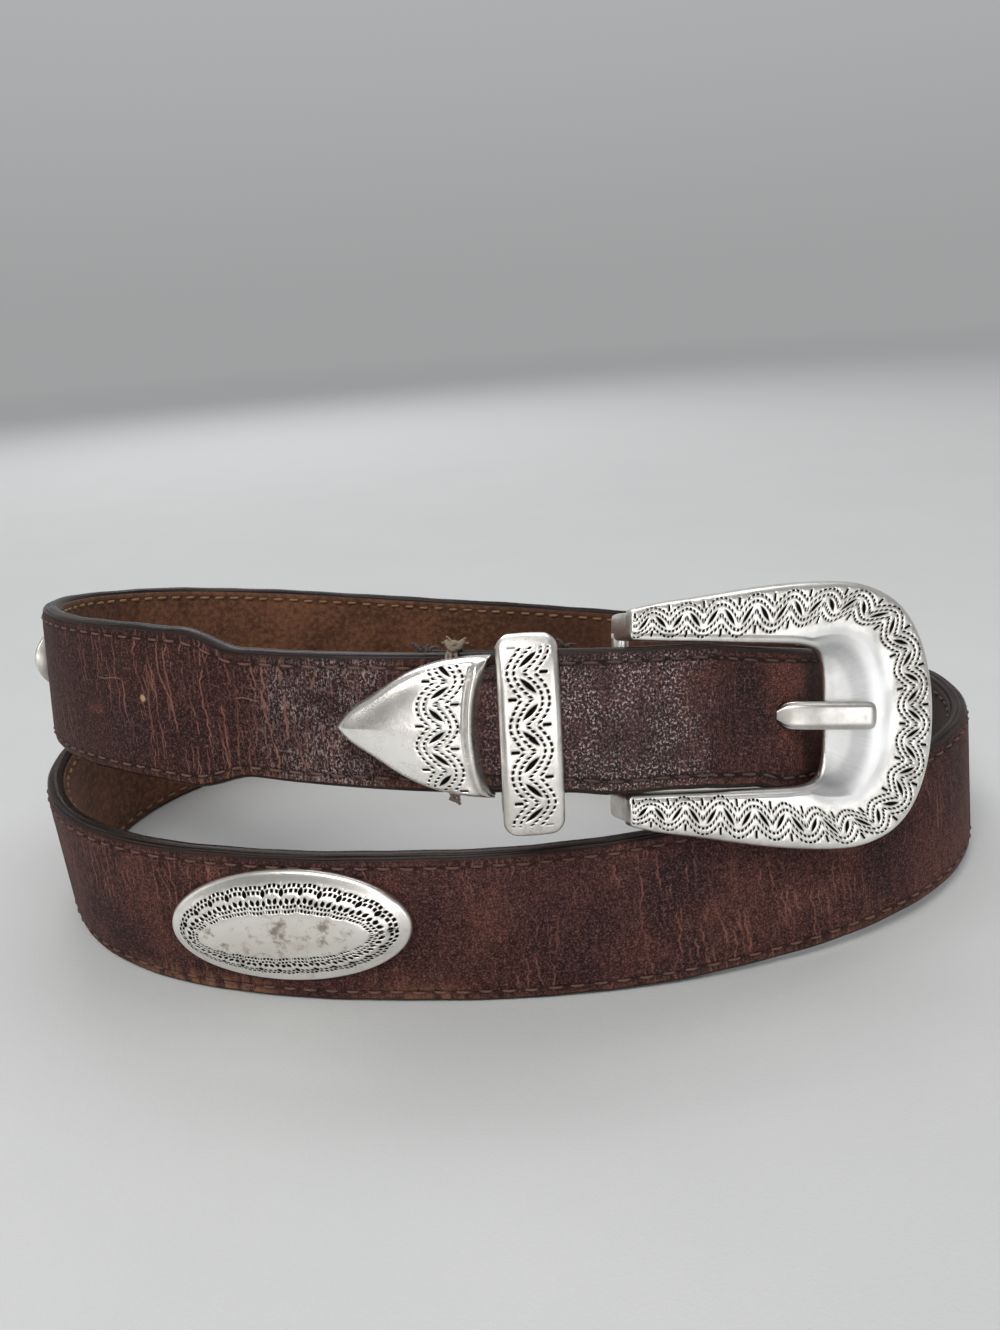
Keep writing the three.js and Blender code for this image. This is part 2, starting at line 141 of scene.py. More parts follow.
def width(s):
    s = np.asarray(s, float)
    return END_W + (BODY_W - END_W) * smooth(*STEP_A, s) * (1 - smooth(*STEP_B, s))


def on_strap(s, n, v):
    p, t, w, nn = strap_frame(s)
    return p + nn * np.asarray(n, float)[..., None] + w * np.asarray(v, float)[..., None]


def mount_frame(s, rise=0.0, turn=0.0):
    p, t, w, n = strap_frame(np.array([float(s)]))
    p, t, w, n = p[0], t[0], w[0], n[0]
    a = math.radians(turn)
    return p + w * rise, -t * math.cos(a) + w * math.sin(a), w * math.cos(a) + t * math.sin(a), n


def placed(pts, f):
    o, u, v, n = f
    pts = np.asarray(pts, float)
    return o + pts[..., 0:1] * u + pts[..., 1:2] * v + pts[..., 2:3] * n


# ---- mesh making -------------------------------------------------------------------
def grid_faces(rows, cols, close_rows=False, close_cols=False, start=0):
    i = np.arange(rows if close_rows else rows - 1)[:, None]
    j = np.arange(cols if close_cols else cols - 1)[None, :]
    a = i * cols + j
    b = i * cols + (j + 1) % cols
    c = ((i + 1) % rows) * cols + (j + 1) % cols
    d = ((i + 1) % rows) * cols + j
    return (np.stack([a, b, c, d], -1).reshape(-1, 4) + start)


class Build:
    """Collects vertex arrays and faces, then makes one mesh object in metres."""

    def __init__(self):
        self.v, self.f, self.attr, self.mat, self.n = [], [], {}, [], 0

    def add(self, pts, faces, mat=0, **attrs):
        pts = np.asarray(pts, float).reshape(-1, 3)
        start = self.n
        for k in set(self.attr) | set(attrs):
            if k not in self.attr:
                self.attr[k] = [np.zeros((self.n, 3))] if self.n else []
            a = attrs.get(k)
            self.attr[k].append(np.zeros((len(pts), 3)) if a is None else np.asarray(a, float).reshape(-1, 3))
        self.v.append(pts)
        for f in faces:
            if isinstance(f, np.ndarray) and f.ndim == 2:
                self.f.append(f + start)
                self.mat.append(np.full(len(f), mat))
            else:
                self.f.append(np.array([[x + start for x in f]]))
                self.mat.append(np.full(1, mat))
        self.n += len(pts)
        return start

    def make(self, name, mats, smooth_shade=True):
        co = np.concatenate(self.v) * 0.001
        loops = np.concatenate([f.reshape(-1) for f in self.f]).astype(np.int32)
        totals = np.concatenate([np.full(len(f), f.shape[1]) for f in self.f]).astype(np.int32)
        starts = np.concatenate([[0], np.cumsum(totals)[:-1]]).astype(np.int32)
        me = bpy.data.meshes.new(name)
        me.vertices.add(len(co))
        me.vertices.foreach_set("co", co.astype(np.float32).reshape(-1))
        me.loops.add(len(loops))
        me.loops.foreach_set("vertex_index", loops)
        me.polygons.add(len(totals))
        me.polygons.foreach_set("loop_start", starts)
        me.polygons.foreach_set("loop_total", totals)
        me.polygons.foreach_set("material_index", np.concatenate(self.mat).astype(np.int32))
        me.polygons.foreach_set("use_smooth", np.full(len(totals), smooth_shade))
        for k, parts in self.attr.items():
            a = me.attributes.new(k, "FLOAT_VECTOR", "POINT")
            a.data.foreach_set("vector", np.concatenate(parts).astype(np.float32).reshape(-1))
        me.update(calc_edges=True)
        me.validate()
        ob = bpy.data.objects.new(name, me)
        for m in (mats if isinstance(mats, (list, tuple)) else [mats]):
            me.materials.append(m)
        bpy.context.scene.collection.objects.link(ob)
        return ob


def signed_volume(pts, quads):
    p = np.asarray(pts, float).reshape(-1, 3)
    a, b, c, d = (p[quads[:, k]] for k in range(4))
    return float(np.sum(np.cross(a, b) * c) + np.sum(np.cross(a, c) * d)) / 6


def out_facing(pts, faces):
    """Turns the faces round if the closed body is inside out."""
    vol = 0.0
    p = np.asarray(pts, float).reshape(-1, 3)
    for f in faces:
        f = np.atleast_2d(np.asarray(f))
        for k in range(1, f.shape[1] - 1):
            vol += float(np.sum(np.cross(p[f[:, 0]], p[f[:, k]]) * p[f[:, k + 1]]))
    if vol < 0:
        faces = [np.atleast_2d(np.asarray(f))[:, ::-1] for f in faces]
    return [np.atleast_2d(np.asarray(f)) for f in faces]


def finish_piece(ob, nodes=()):
    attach(ob, "root")
    if nodes:
        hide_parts(*nodes)
    return ob


def tube(build, path, radius, sides=8, cap=True, **attrs):
    """A tube along path (k, 3) with radius a number or one per point."""
    path = np.asarray(path, float)
    k = len(path)
    r = np.broadcast_to(np.asarray(radius, float), (k,))
    t = unit(np.gradient(path, axis=0))
    u = np.zeros_like(t)
    ref = np.array([0.0, 0.0, 1.0]) if abs(t[0, 2]) < 0.9 else np.array([1.0, 0.0, 0.0])
    u[0] = unit(ref - t[0] * np.dot(ref, t[0]))
    for i in range(1, k):
        x = u[i - 1] - t[i] * np.dot(u[i - 1], t[i])
        u[i] = unit(x)
    w = np.cross(t, u)
    a = np.linspace(0, 2 * np.pi, sides, endpoint=False)
    ring = path[:, None] + r[:, None, None] * (u[:, None] * np.cos(a)[None, :, None] + w[:, None] * np.sin(a)[None, :, None])
    faces = [grid_faces(k, sides, close_cols=True)]
    if cap:
        faces += [np.array([list(range(sides))[::-1]]), np.array([[(k - 1) * sides + j for j in range(sides)]])]
    faces = out_facing(ring, faces)
    build.add(ring, faces, **attrs)


# ---- node expressions: the same formula works on numpy arrays and on shader nodes ------
class E:
    tree = None

    def __init__(self, socket):
        self.s = socket

    @staticmethod
    def op(kind, *args, clamp=False):
        n = E.tree.nodes.new("ShaderNodeMath")
        n.operation = kind
        n.use_clamp = clamp
        for i, a in enumerate(args):
            if isinstance(a, E):
                E.tree.links.new(a.s, n.inputs[i])
            else:
                n.inputs[i].default_value = float(a)
        return E(n.outputs[0])

    def __add__(self, o): return E.op("ADD", self, o)
    def __radd__(self, o): return E.op("ADD", o, self)
    def __sub__(self, o): return E.op("SUBTRACT", self, o)
    def __rsub__(self, o): return E.op("SUBTRACT", o, self)
    def __mul__(self, o): return E.op("MULTIPLY", self, o)
    def __rmul__(self, o): return E.op("MULTIPLY", o, self)
    def __truediv__(self, o): return E.op("DIVIDE", self, o)
    def __rtruediv__(self, o): return E.op("DIVIDE", o, self)
    def __neg__(self): return E.op("MULTIPLY", self, -1)


def f_abs(x): return E.op("ABSOLUTE", x) if isinstance(x, E) else np.abs(x)
def f_floor(x): return E.op("FLOOR", x) if isinstance(x, E) else np.floor(x)
def f_sin(x): return E.op("SINE", x) if isinstance(x, E) else np.sin(x)
def f_cos(x): return E.op("COSINE", x) if isinstance(x, E) else np.cos(x)
def f_sqrt(x): return E.op("SQRT", x) if isinstance(x, E) else np.sqrt(x)
def f_max(a, b): return E.op("MAXIMUM", a, b) if isinstance(a, E) or isinstance(b, E) else np.maximum(a, b)
def f_min(a, b): return E.op("MINIMUM", a, b) if isinstance(a, E) or isinstance(b, E) else np.minimum(a, b)
def f_clip(x): return E.op("ADD", x, 0.0, clamp=True) if isinstance(x, E) else np.clip(x, 0, 1)
def f_pos(x): return E.op("GREATER_THAN", x, 0.0) if isinstance(x, E) else (np.asarray(x) > 0).astype(float)


def edge(x, soft):
    """0 to 1 as x rises through 0 over a width of soft."""
    return f_clip(x / soft + 0.5)


# ---- engraved patterns ------------------------------------------------------------------
CELL = 4.4                    # one slanted cut every CELL mm at full size


def zigzag(a, b, a0, a1, soft=0.12, bold=0.20):
    """Depth 0..1 of a zigzag band. a counts the cells along the band, b is across it in mm at full size.
    Each cell has a slanted lens cut; two dashed lines wrap every bend of the zigzag on its outer side."""
    b = b + 0.13 * f_sin(a * 2.3 + 1.1) + 0.07 * f_sin(a * 5.3 + 0.4)
    k = f_floor(a)
    x = (a - k - 0.5) * CELL
    sign = 1 - 2 * (k - 2 * f_floor(k / 2))
    ct, st = math.cos(math.radians(39)), math.sin(math.radians(39))
    along = x * st * sign + b * ct
    off = x * ct - sign * b * st
    out = edge(0.38 * (1 - along * along / (1.95 * 1.95)) - f_abs(off) + 0.02, soft)
    for side in (0, 1):                  # side 1 is where b is positive
        u = a - side
        y = b * (2 * side - 1)
        x = f_abs(u - 2 * f_floor(u / 2 + 0.5))      # 0 on a bend, 1 on the cusp between two bends
        c, sn = f_cos(x * (math.pi / 2)), f_sin(x * (math.pi / 2))
        for low, high, dashes, lean in ((-0.75, 2.62, 5.45, 0.13), (1.25, 3.92, 4.62, 0.09)):
            slope = sn * ((high - low) * (math.pi / 2) / CELL)
            dist = f_abs(y - low - (high - low) * c) / f_sqrt(1 + slope * slope)
            q = dashes * (x - lean * sn * c)
            dash = f_abs(q - f_floor(q + 0.5))
            out = f_max(out, edge(bold - dist, soft) * edge(0.31 - dash, 0.12))
        h = f_abs(1 - x) * CELL
        out = f_max(out, edge(bold + 0.04 - h, soft) * edge(0.78 - f_abs(y - 3.0), soft))
    return out * edge(a - a0, 0.08) * edge(a1 - a, 0.08)


RING_N = 25                   # scallops round an oval concho


def ring(a, d, soft=0.10):
    """Depth of the oval band. a runs 0..1 round the oval, d is mm in from the edge."""
    inside = edge(d - 1.9, 0.2) * edge(7.7 - d, 0.2)
    d = d + 0.12 * f_sin(a * 37.7 + 0.5) + 0.08 * f_sin(a * 94.2 + 2.0)
    n = a * RING_N
    p = 3.65                  # mm along one scallop, about
    x = (n - f_floor(n) - 0.5) * p
    w = (n - f_floor(n + 0.5)) * p
    ax, aw = f_abs(x), f_abs(w)
    out = 0.0 * ax
    for base, bow, pitch, shift, reach, half in ((2.45, 0.11, 0.86, 0.5, 1.68, 0.30), (3.30, 0.10, 0.98, 0.0, 1.22, 0.29),
                                                 (6.05, -0.05, 0.80, 0.5, 1.55, 0.26), (6.92, -0.06, 0.84, 0.0, 1.62, 0.28)):
        q = x / pitch + shift
        dash = f_abs(q - f_floor(q + 0.5))
        line = edge(half - f_abs(d - base - bow * x * x), soft) * edge(0.32 - dash, 0.14) * edge(reach - ax, 0.1)
        out = f_max(out, line)
    e = d - 3.55
    out = f_max(out, edge(f_max(0.0, 0.45 + 0.16 * e) * (1 - e * e * 2.0) - aw, soft))
    e = d - 5.25
    out = f_max(out, edge(f_max(0.0, 0.38 + 0.14 * e) * (1 - e * e * 2.8) - aw, soft))
    ct, st = math.cos(math.radians(24)), math.sin(math.radians(24))
    e, f = d - 5.0, ax - 0.62
    along, off = e * ct - f * st, f * ct + e * st
    return f_max(out, edge(f_max(0.0, 0.41 + 0.16 * along) * (1 - along * along * 2.6) - f_abs(off), soft)) * inside


# ---- materials ----------------------------------------------------------------------------
def start_material(name):
    m = bpy.data.materials.new(name)
    m.use_nodes = True
    nt = m.node_tree
    nt.nodes.clear()
    out = nt.nodes.new("ShaderNodeOutputMaterial")
    bsdf = nt.nodes.new("ShaderNodeBsdfPrincipled")
    nt.links.new(bsdf.outputs[0], out.inputs[0])
    E.tree = nt
    return m, nt, bsdf


def put(value, socket):
    if isinstance(value, E):
        E.tree.links.new(value.s, socket)
    elif isinstance(value, bpy.types.NodeSocket):
        E.tree.links.new(value, socket)
    else:
        socket.default_value = value


def separate(v):
    n = E.tree.nodes.new("ShaderNodeSeparateXYZ")
    E.tree.links.new(v, n.inputs[0])
    return list(n.outputs)


def attribute(name):
    n = E.tree.nodes.new("ShaderNodeAttribute")
    n.attribute_name = name
    s = E.tree.nodes.new("ShaderNodeSeparateXYZ")
    E.tree.links.new(n.outputs["Vector"], s.inputs[0])
    return [E(o) for o in s.outputs]


def vec(x, y, z=0.0):
    n = E.tree.nodes.new("ShaderNodeCombineXYZ")
    for a, i in zip((x, y, z), n.inputs):
        put(a, i)
    return n.outputs[0]


def noise(v, scale=1.0, detail=2.0, rough=0.5, distort=0.0):
    n = E.tree.nodes.new("ShaderNodeTexNoise")
    put(v, n.inputs["Vector"])
    n.inputs["Scale"].default_value = scale
    n.inputs["Detail"].default_value = detail
    n.inputs["Roughness"].default_value = rough
    n.inputs["Distortion"].default_value = distort
    return E(n.outputs[0])


def voronoi(v, scale=1.0, feature="F1", random=1.0):
    n = E.tree.nodes.new("ShaderNodeTexVoronoi")
    n.feature = feature
    put(v, n.inputs["Vector"])
    n.inputs["Scale"].default_value = scale
    n.inputs["Randomness"].default_value = random
    return E(n.outputs["Distance"])


def mix(fac, a, b, blend="MIX"):
    n = E.tree.nodes.new("ShaderNodeMix")
    n.data_type = "RGBA"
    n.blend_type = blend
    put(fac, n.inputs[0])
    for c, i in ((a, 6), (b, 7)):
        put(c if not isinstance(c, tuple) else (*c, 1.0), n.inputs[i])
    return n.outputs[2]


def span(x, a, b, lo=0.0, hi=1.0):
    n = E.tree.nodes.new("ShaderNodeMapRange")
    n.interpolation_type = "SMOOTHSTEP"
    put(x, n.inputs[0])
    for v, i in zip((a, b, lo, hi), (1, 2, 3, 4)):
        n.inputs[i].default_value = v
    return E(n.outputs[0])


def bump(height, distance, strength=1.0, normal=None):
    n = E.tree.nodes.new("ShaderNodeBump")
    n.inputs["Strength"].default_value = strength
    n.inputs["Distance"].default_value = distance
    put(height, n.inputs["Height"])
    if normal is not None:
        E.tree.links.new(normal, n.inputs["Normal"])
    return n.outputs[0]


def creases(s, v, period, drift, seed, keep, wide=0.20):
    """Thin lines across the strap that wander, swell and fade, about one every period mm."""
    slow = noise(vec(s * 0.03 + seed, v * 0.045, seed), 1.0, 1.0)
    quick = noise(vec(s * 0.10 + seed, v * 0.30, seed + 5.0), 1.0, 3.0, 0.6)
    q = (s + (slow - 0.5) * drift + (quick - 0.5) * 2.8) / period
    k = f_floor(q)
    d = f_abs(q - k - 0.5) * period
    r = noise(vec(k * 5.37 + seed, v * 0.085, seed * 1.7), 1.0, 2.0, 0.55)
    return edge(span(r, keep, keep + 0.14, -0.12, wide) - d, 0.20)


# soft-edged stains on the leather: s, v, half length along and across, strength
DARK_STAINS = [(999.5, 0.5, 8.5, 12.0, 0.72), (1000.0, 6.3, 3.6, 5.0, 0.90), (983.0, 3.0, 3.0, 9.5, 0.72), (104.0, -4.5, 9.0, 7.5, 0.65), (66.0, 1.0, 5.5, 11.0, 0.45), (548.0, 5.0, 14.0, 9.0, 0.55), (500.0, -3.0, 12.0, 10.0, 0.45)]
RED_STAINS = [(991.5, 6.0, 4.6, 6.6, 0.64), (989.5, -7.0, 5.0, 6.4, 0.50), (1011.0, 6.5, 4.5, 3.2, 0.50), (1016.5, -11.0, 2.4, 4.5, 0.60), (114.0, -2.5, 3.6, 1.8, 0.55), (556.0, -8.0, 9.0, 6.0, 0.35)]


def stains(s, v, table):
    out = None
    for s0, v0, rs, rv, k in table:
        x, y = (s - s0) / rs, (v - v0) / rv
        one = span(x * x + y * y, 1.0, 0.05) * k
        out = one if out is None else f_max(out, one)
    return out


def leather_material():
    m, nt, b = start_material("brown_leather")
    s, v, e = attribute("lay")
    warp = noise(vec(s * 0.10, v * 0.10), 1.0, 2.0, 0.5)
    s2 = s + (warp - 0.5) * 4.5 + (noise(vec(s * 0.45 + 20, v * 0.45), 1.0, 2.0) - 0.5) * 1.2
    v2 = v + (noise(vec(s * 0.09 + 40, v * 0.09), 1.0, 2.0) - 0.5) * 5
    big = noise(vec(s * 0.020, v * 0.028), 1.0, 3.0, 0.6)
    patch = noise(vec(s2 * 0.085, v2 * 0.055 + 9), 1.0, 4.0, 0.66)
    streak = noise(vec(s2 * 0.50, v2 * 0.085), 1.0, 4.0, 0.66)
    thin = noise(vec(s2 * 1.6, v2 * 0.16, 4.0), 1.0, 3.0, 0.65)
    strong = span(s, 46, 58) * (1 - span(s, 100, 112))      # the hard-creased stretch by the step
    smooth_end = span(s, 980, 990)                            # the billet has hardly any creases
    shiny = span(s, 1004, 1020) * (1 - span(s, 1047, 1053)) + span(s, 42, 49) * (1 - span(s, 60, 74)) * 0.62
    where = span(noise(vec(s * 0.045 + 7, v * 0.060), 1.0, 2.0), 0.44, 0.60) * (1 - smooth_end)
    coarse = f_max(creases(s, v, 4.4, 7.0, 3.1, 0.47, 0.19), creases(s, v, 5.9, 12.0, 11.7, 0.47, 0.18))
    close = f_max(creases(s, v, 1.35, 4.0, 23.3, 0.48, 0.15), creases(s, v, 1.75, 6.0, 31.9, 0.50, 0.15))
    line1 = coarse * f_clip(0.10 + where * 0.30 + strong * 1.0 - smooth_end * 0.10)
    line2 = close * f_clip(0.20 + where * 0.80 + strong * 0.30 + smooth_end * 0.04)
    lines = f_clip((line1 + line2 * 0.70) * span(noise(vec(s * 0.8, v * 0.5, 5.0), 1.0, 3.0), 0.28, 0.48))
    cells = voronoi(vec(s * 1.75 + warp * 2, v * 1.90), 1.0, "F1")
    rims = voronoi(vec(s * 1.75 + warp * 2, v * 1.90), 1.0, "DISTANCE_TO_EDGE")
    mottle = noise(vec(s * 0.95 + 3, v * 0.80, 8.0), 1.0, 5.0, 0.74)
    glint = f_max(span(noise(vec(s * 2.2, v * 1.9, 11.0), 1.0, 2.0, 0.72), 0.52, 0.65),
                  span(noise(vec(s * 2.0, v * 0.60, 17.0), 1.0, 2.0, 0.75), 0.54, 0.64) * (1 - span(s, 70, 80)))
    gloss = shiny * (0.25 + 0.75 * span(noise(vec(s * 0.14, v * 0.12, 6.0), 1.0, 2.0), 0.38, 0.60))
    base = mix(span(patch, 0.40, 0.62), (0.044, 0.0170, 0.0150), (0.122, 0.0455, 0.0365))
    base = mix(span(streak, 0.44, 0.64) * 0.40, base, (0.017, 0.0095, 0.0100))
    base = mix(span(big, 0.46, 0.64) * 0.55, base, (0.020, 0.0130, 0.0165))
    base = mix(span(thin, 0.52, 0.72) * 0.30, base, (0.135, 0.060, 0.048))
    # painted shade: the upper strap's stretch from s 40 to 152 is darkened where less light falls on it
    base = mix(span(s, 40, 52) * (1 - span(s, 128, 152)) * 0.68, base, (0.021, 0.0085, 0.0075))
    base = mix(stains(s2, v2, DARK_STAINS), base, (0.017, 0.0120, 0.0165))
    base = mix(stains(s2, v2, RED_STAINS) * span(thin, 0.34, 0.60), base, (0.180, 0.054, 0.042))
    base = mix(shiny * 0.50, base, (0.040, 0.0310, 0.0320))
    base = mix(span(mottle, 0.50, 0.66) * 0.55, base, (0.180, 0.088, 0.070))
    base = mix(span(mottle, 0.50, 0.36) * 0.65, base, (0.012, 0.0072, 0.0072))
    base = mix(span(rims, 0.20, 0.03) * 0.75, base, (0.010, 0.0060, 0.0060))
    base = mix(glint * 0.34 * (1 - shiny), base, (0.240, 0.120, 0.098))
    base = mix(glint * gloss * 0.90, base, (0.42, 0.350, 0.345))
    base = mix(lines * 0.70, base, (0.26, 0.115, 0.088))
    # edges: darker along the top, lighter and worn along the bottom, most on the lower turn's left front
    rim = span(e, 0.4, 2.4, 1.0, 0.0)
    top_side = span(v, -2.0, 2.0)
    base = mix(rim * top_side * 0.55, base, (0.020, 0.0125, 0.0120))
    worn = (span(s, 618, 634) * (1 - span(s, 648, 664)) + span(s, 584, 591) * (1 - span(s, 599, 608)) * 0.6) * span(v, -10.5, -14.0)
    base = mix(f_clip(rim * (1 - top_side) * 0.22 + worn * 0.80) * span(streak, 0.62, 0.40), base, (0.215, 0.100, 0.055))
    # painted shade: darker along the sunken stitch line, more on the billet
    stitch_groove_shade = edge(0.42 - f_abs(e - INSET), 0.5)
    base = mix(stitch_groove_shade * (0.60 + 0.28 * smooth_end), base, (0.012, 0.008, 0.0075))
    # fine scratches and an awl mark
    sc = (edge(0.10 - f_abs(v - 4.6 + 0.25 * f_sin(s * 0.7)), 0.10) * span(s, 103.0, 104.5) * (1 - span(s, 110.5, 112.5))
          + edge(0.10 - f_abs(v - 3.4 + 0.20 * f_sin(s * 1.1)), 0.10) * span(s, 69.0, 70.0) * (1 - span(s, 74.0, 75.5)))
    base = mix(f_clip(sc) * 0.60, base, (0.27, 0.15, 0.105))
    awl_s, awl_v = 98.0, 1.4
    r = f_sqrt((s - awl_s) * (s - awl_s) + (v - awl_v) * (v - awl_v))
    base = mix(edge(0.70 - r, 0.35), base, (0.38, 0.24, 0.14))
    painted = edge(0.25 - e + (noise(vec(s * 0.6, v * 0.6), 1.0, 2.0) - 0.5) * 0.7, 0.35)
    # edge colour: dark edge paint with lighter streaks along the edge; the streaks are painted highlight ribbons
    along = noise(vec(s * 0.035, e * 2.4, 1.0), 1.0, 3.0, 0.6)
    edge_paint_and_highlight = mix(span(along, 0.40, 0.64), (0.010, 0.0075, 0.0070), (0.046, 0.034, 0.031))
    base = mix(painted, base, edge_paint_and_highlight)
    put(base, b.inputs["Base Color"])
    rough = 0.55 - shiny * 0.30 + (noise(vec(s * 0.4, v * 0.4), 1.0, 4.0, 0.7) - 0.5) * 0.30 + lines * 0.12
    rough = rough * (1 - painted) + painted * (0.18 + 0.20 * noise(vec(s * 0.5, e), 1.0, 2.0))
    put(f_clip(rough), b.inputs["Roughness"])
    b.inputs["Specular IOR Level"].default_value = 0.06
    pebble = 1 - cells
    pores = noise(vec(s * 3.4, v * 3.0), 1.0, 3.0, 0.6)
    ridges = noise(vec(s2 * 0.60, v2 * 0.06, 2.0), 1.0, 3.0, 0.6)
    h = pebble * (0.13 + 0.07 * shiny) + mottle * 0.16 + pores * 0.07 + ridges * (0.14 + strong * 0.45) - line1 * 0.30 - line2 * 0.12
    h = h * (1 - painted) + painted * (0.05 * noise(vec(s * 0.8, e * 1.2), 1.0, 3.0) + 0.10 * along)
    put(bump(h, 0.0006, 0.85), b.inputs["Normal"])
    return m


def lining_material():
    m, nt, b = start_material("tan_lining")
    s, v, e = attribute("lay")
    a = noise(vec(s * 0.05, v * 0.06), 1.0, 4.0, 0.6)
    c = noise(vec(s * 0.65, v * 0.65), 1.0, 5.0, 0.74)
    f = noise(vec(s * 4.5, v * 4.5), 1.0, 3.0, 0.7)
    base = mix(span(a, 0.34, 0.66), (0.070, 0.029, 0.016), (0.150, 0.062, 0.032))
    base = mix(span(c, 0.46, 0.64) * 0.60, base, (0.215, 0.105, 0.055))
    base = mix(span(c, 0.50, 0.36) * 0.55, base, (0.040, 0.018, 0.011))
    base = mix(span(f, 0.50, 0.75) * 0.35, base, (0.045, 0.021, 0.013))
    # painted shade: the lining from s 288 to 430 (lay s 588 to 730) is darkened where the keeper and buckle shade it
    base = mix(span(s, 588, 612) * (1 - span(s, 690, 730)) * 0.55, base, (0.046, 0.0165, 0.0105))
    # painted shade: the lining from s 922 on (lay s 1222) is darkened, as it lies in the shaded turn behind the buckle
    base = mix(span(s, 1222, 1236) * 0.65, base, (0.016, 0.0095, 0.0070))
    # painted shade: the lining of the lower loop's right turn, s 340 to 540 (lay s 640 to 840), is made near black for
    # its deep shade
    base = mix(span(s, 640, 704) * (1 - span(s, 772, 840)) * 0.84, base, (0.009, 0.0060, 0.0048))
    base = mix(edge(0.55 - f_abs(e - INSET), 0.7) * 0.4, base, (0.03, 0.015, 0.010))
    base = mix(edge(0.9 - e, 0.6), base, (0.030, 0.019, 0.015))
    put(base, b.inputs["Base Color"])
    put(f_clip(0.80 + (c - 0.5) * 0.2), b.inputs["Roughness"])
    b.inputs["Specular IOR Level"].default_value = 0.12
    b.inputs["Sheen Weight"].default_value = 0.07
    b.inputs["Sheen Roughness"].default_value = 0.6
    put(bump(c * 0.35 + f * 0.25, 0.0004, 0.6), b.inputs["Normal"])
    return m


def thread_material(name, c1, c2, rough=0.75):
    m, nt, b = start_material(name)
    n = nt.nodes.new("ShaderNodeTexCoord")
    co = n.outputs["Object"]
    w = nt.nodes.new("ShaderNodeTexWave")
    w.inputs["Scale"].default_value = 900
    w.inputs["Distortion"].default_value = 2
    nt.links.new(co, w.inputs["Vector"])
    x = noise(co, 260.0, 3.0, 0.6)
    put(mix(x, c1, c2), b.inputs["Base Color"])
    put(f_clip(rough + (x - 0.5) * 0.2), b.inputs["Roughness"])
    put(bump(E(w.outputs[1]) * 0.5 + x * 0.5, 0.00025, 0.7), b.inputs["Normal"])
    return m


def silver_material(name, pattern, bright=1.0, bold=0.20, polish=0.17, cove=False):
    """Antique silver: a polished warm grey with darker film, fine scratches and black engraved cuts."""
    m, nt, b = start_material(name)
    a, c, r = attribute("band")
    co = nt.nodes.new("ShaderNodeTexCoord").outputs["Object"]
    cloud = noise(co, 95.0, 5.0, 0.66)
    blot = noise(co, 420.0, 4.0, 0.7)
    speck = voronoi(co, 900.0, "F1")
    if pattern is None:
        cut = None
        film = 0.45
    elif pattern == "ring":
        cut = ring(a, c, 0.14)
        film = span(c, 1.4, 2.6) * 0.75 + span(c, 7.4, 9.0) * 0.15
    else:
        a0, a1 = pattern
        cut = zigzag(a, c, a0, a1, 0.15, bold)
        film = span(f_abs(c), 4.6, 3.8) * 0.55
    inner = span(c, -4.8, -6.6) if cove else 0.0
    outer = 0.0 if pattern in (None, "ring") else span(c, 4.4, 5.6)
    light = (0.93 * bright, 0.90 * bright, 0.855 * bright)
    base = mix(span(cloud, 0.40, 0.66) * (0.30 if pattern == "ring" else 0.75 if polish > 0.15 else 0.42), light, (0.66 * bright, 0.63 * bright, 0.585 * bright))
    base = mix(f_clip(span(blot, 0.50, 0.70) * (0.22 + 0.55 * film)), base, (0.36, 0.325, 0.285))
    if cove:
        brush = noise(vec(a * 9.0 + cloud * 3.0, c * 0.16, 3.0), 1.0, 4.0, 0.70)
        # painted reflection and shade: inside the cove the base colour runs from blue-grey at the opening's edge to
        # lighter grey further out, with brushed streaks
        tone = mix(span(c, -8.8, -11.2), (0.70, 0.695, 0.690), mix(span(c, -13.0, -14.6), (0.40, 0.402, 0.410), (0.55, 0.545, 0.54)))
        tone = mix(span(brush, 0.40, 0.66) * 0.16, tone, (0.82, 0.815, 0.81))
        base = mix(inner * 0.90, base, tone)
    if pattern not in (None, "ring"):
        base = mix(outer * span(cloud, 0.42, 0.60) * 0.45, base, (0.50, 0.475, 0.440))
    if pattern == "ring":
        spots = span(c, 6.6, 8.6) * span(noise(co, 210.0, 4.0, 0.7), 0.52, 0.66)
        base = mix(span(c, 7.2, 9.5) * 0.30, base, (0.70, 0.640, 0.55))
        base = mix(spots * 0.70, base, (0.25, 0.21, 0.16))
    base = mix(span(speck, 0.0, 0.16, 1.0, 0.0) * span(cloud, 0.5, 0.7) * 0.35, base, (0.16, 0.14, 0.12))
    if cut is not None:
        base = mix(f_clip(cut * 1.25), base, (0.010, 0.009, 0.009))
    put(base, b.inputs["Base Color"])
    b.inputs["Metallic"].default_value = 1.0
    rough = polish + 0.16 * cloud + 0.14 * blot + 0.10 * film + 0.14 * inner
    if cut is not None:
        rough = rough + cut * 0.4
    put(f_clip(rough), b.inputs["Roughness"])
    scratch = noise(vec(a * 1.4, c * 9.0, r), 1.0, 3.0, 0.6)
    h = blot * 0.10 + cloud * 0.12 + scratch * 0.05
    if cut is not None:
        h = h - cut * 0.35
    put(bump(h, 0.00035, 0.55 if polish > 0.15 else 0.28), b.inputs["Normal"])
    return m


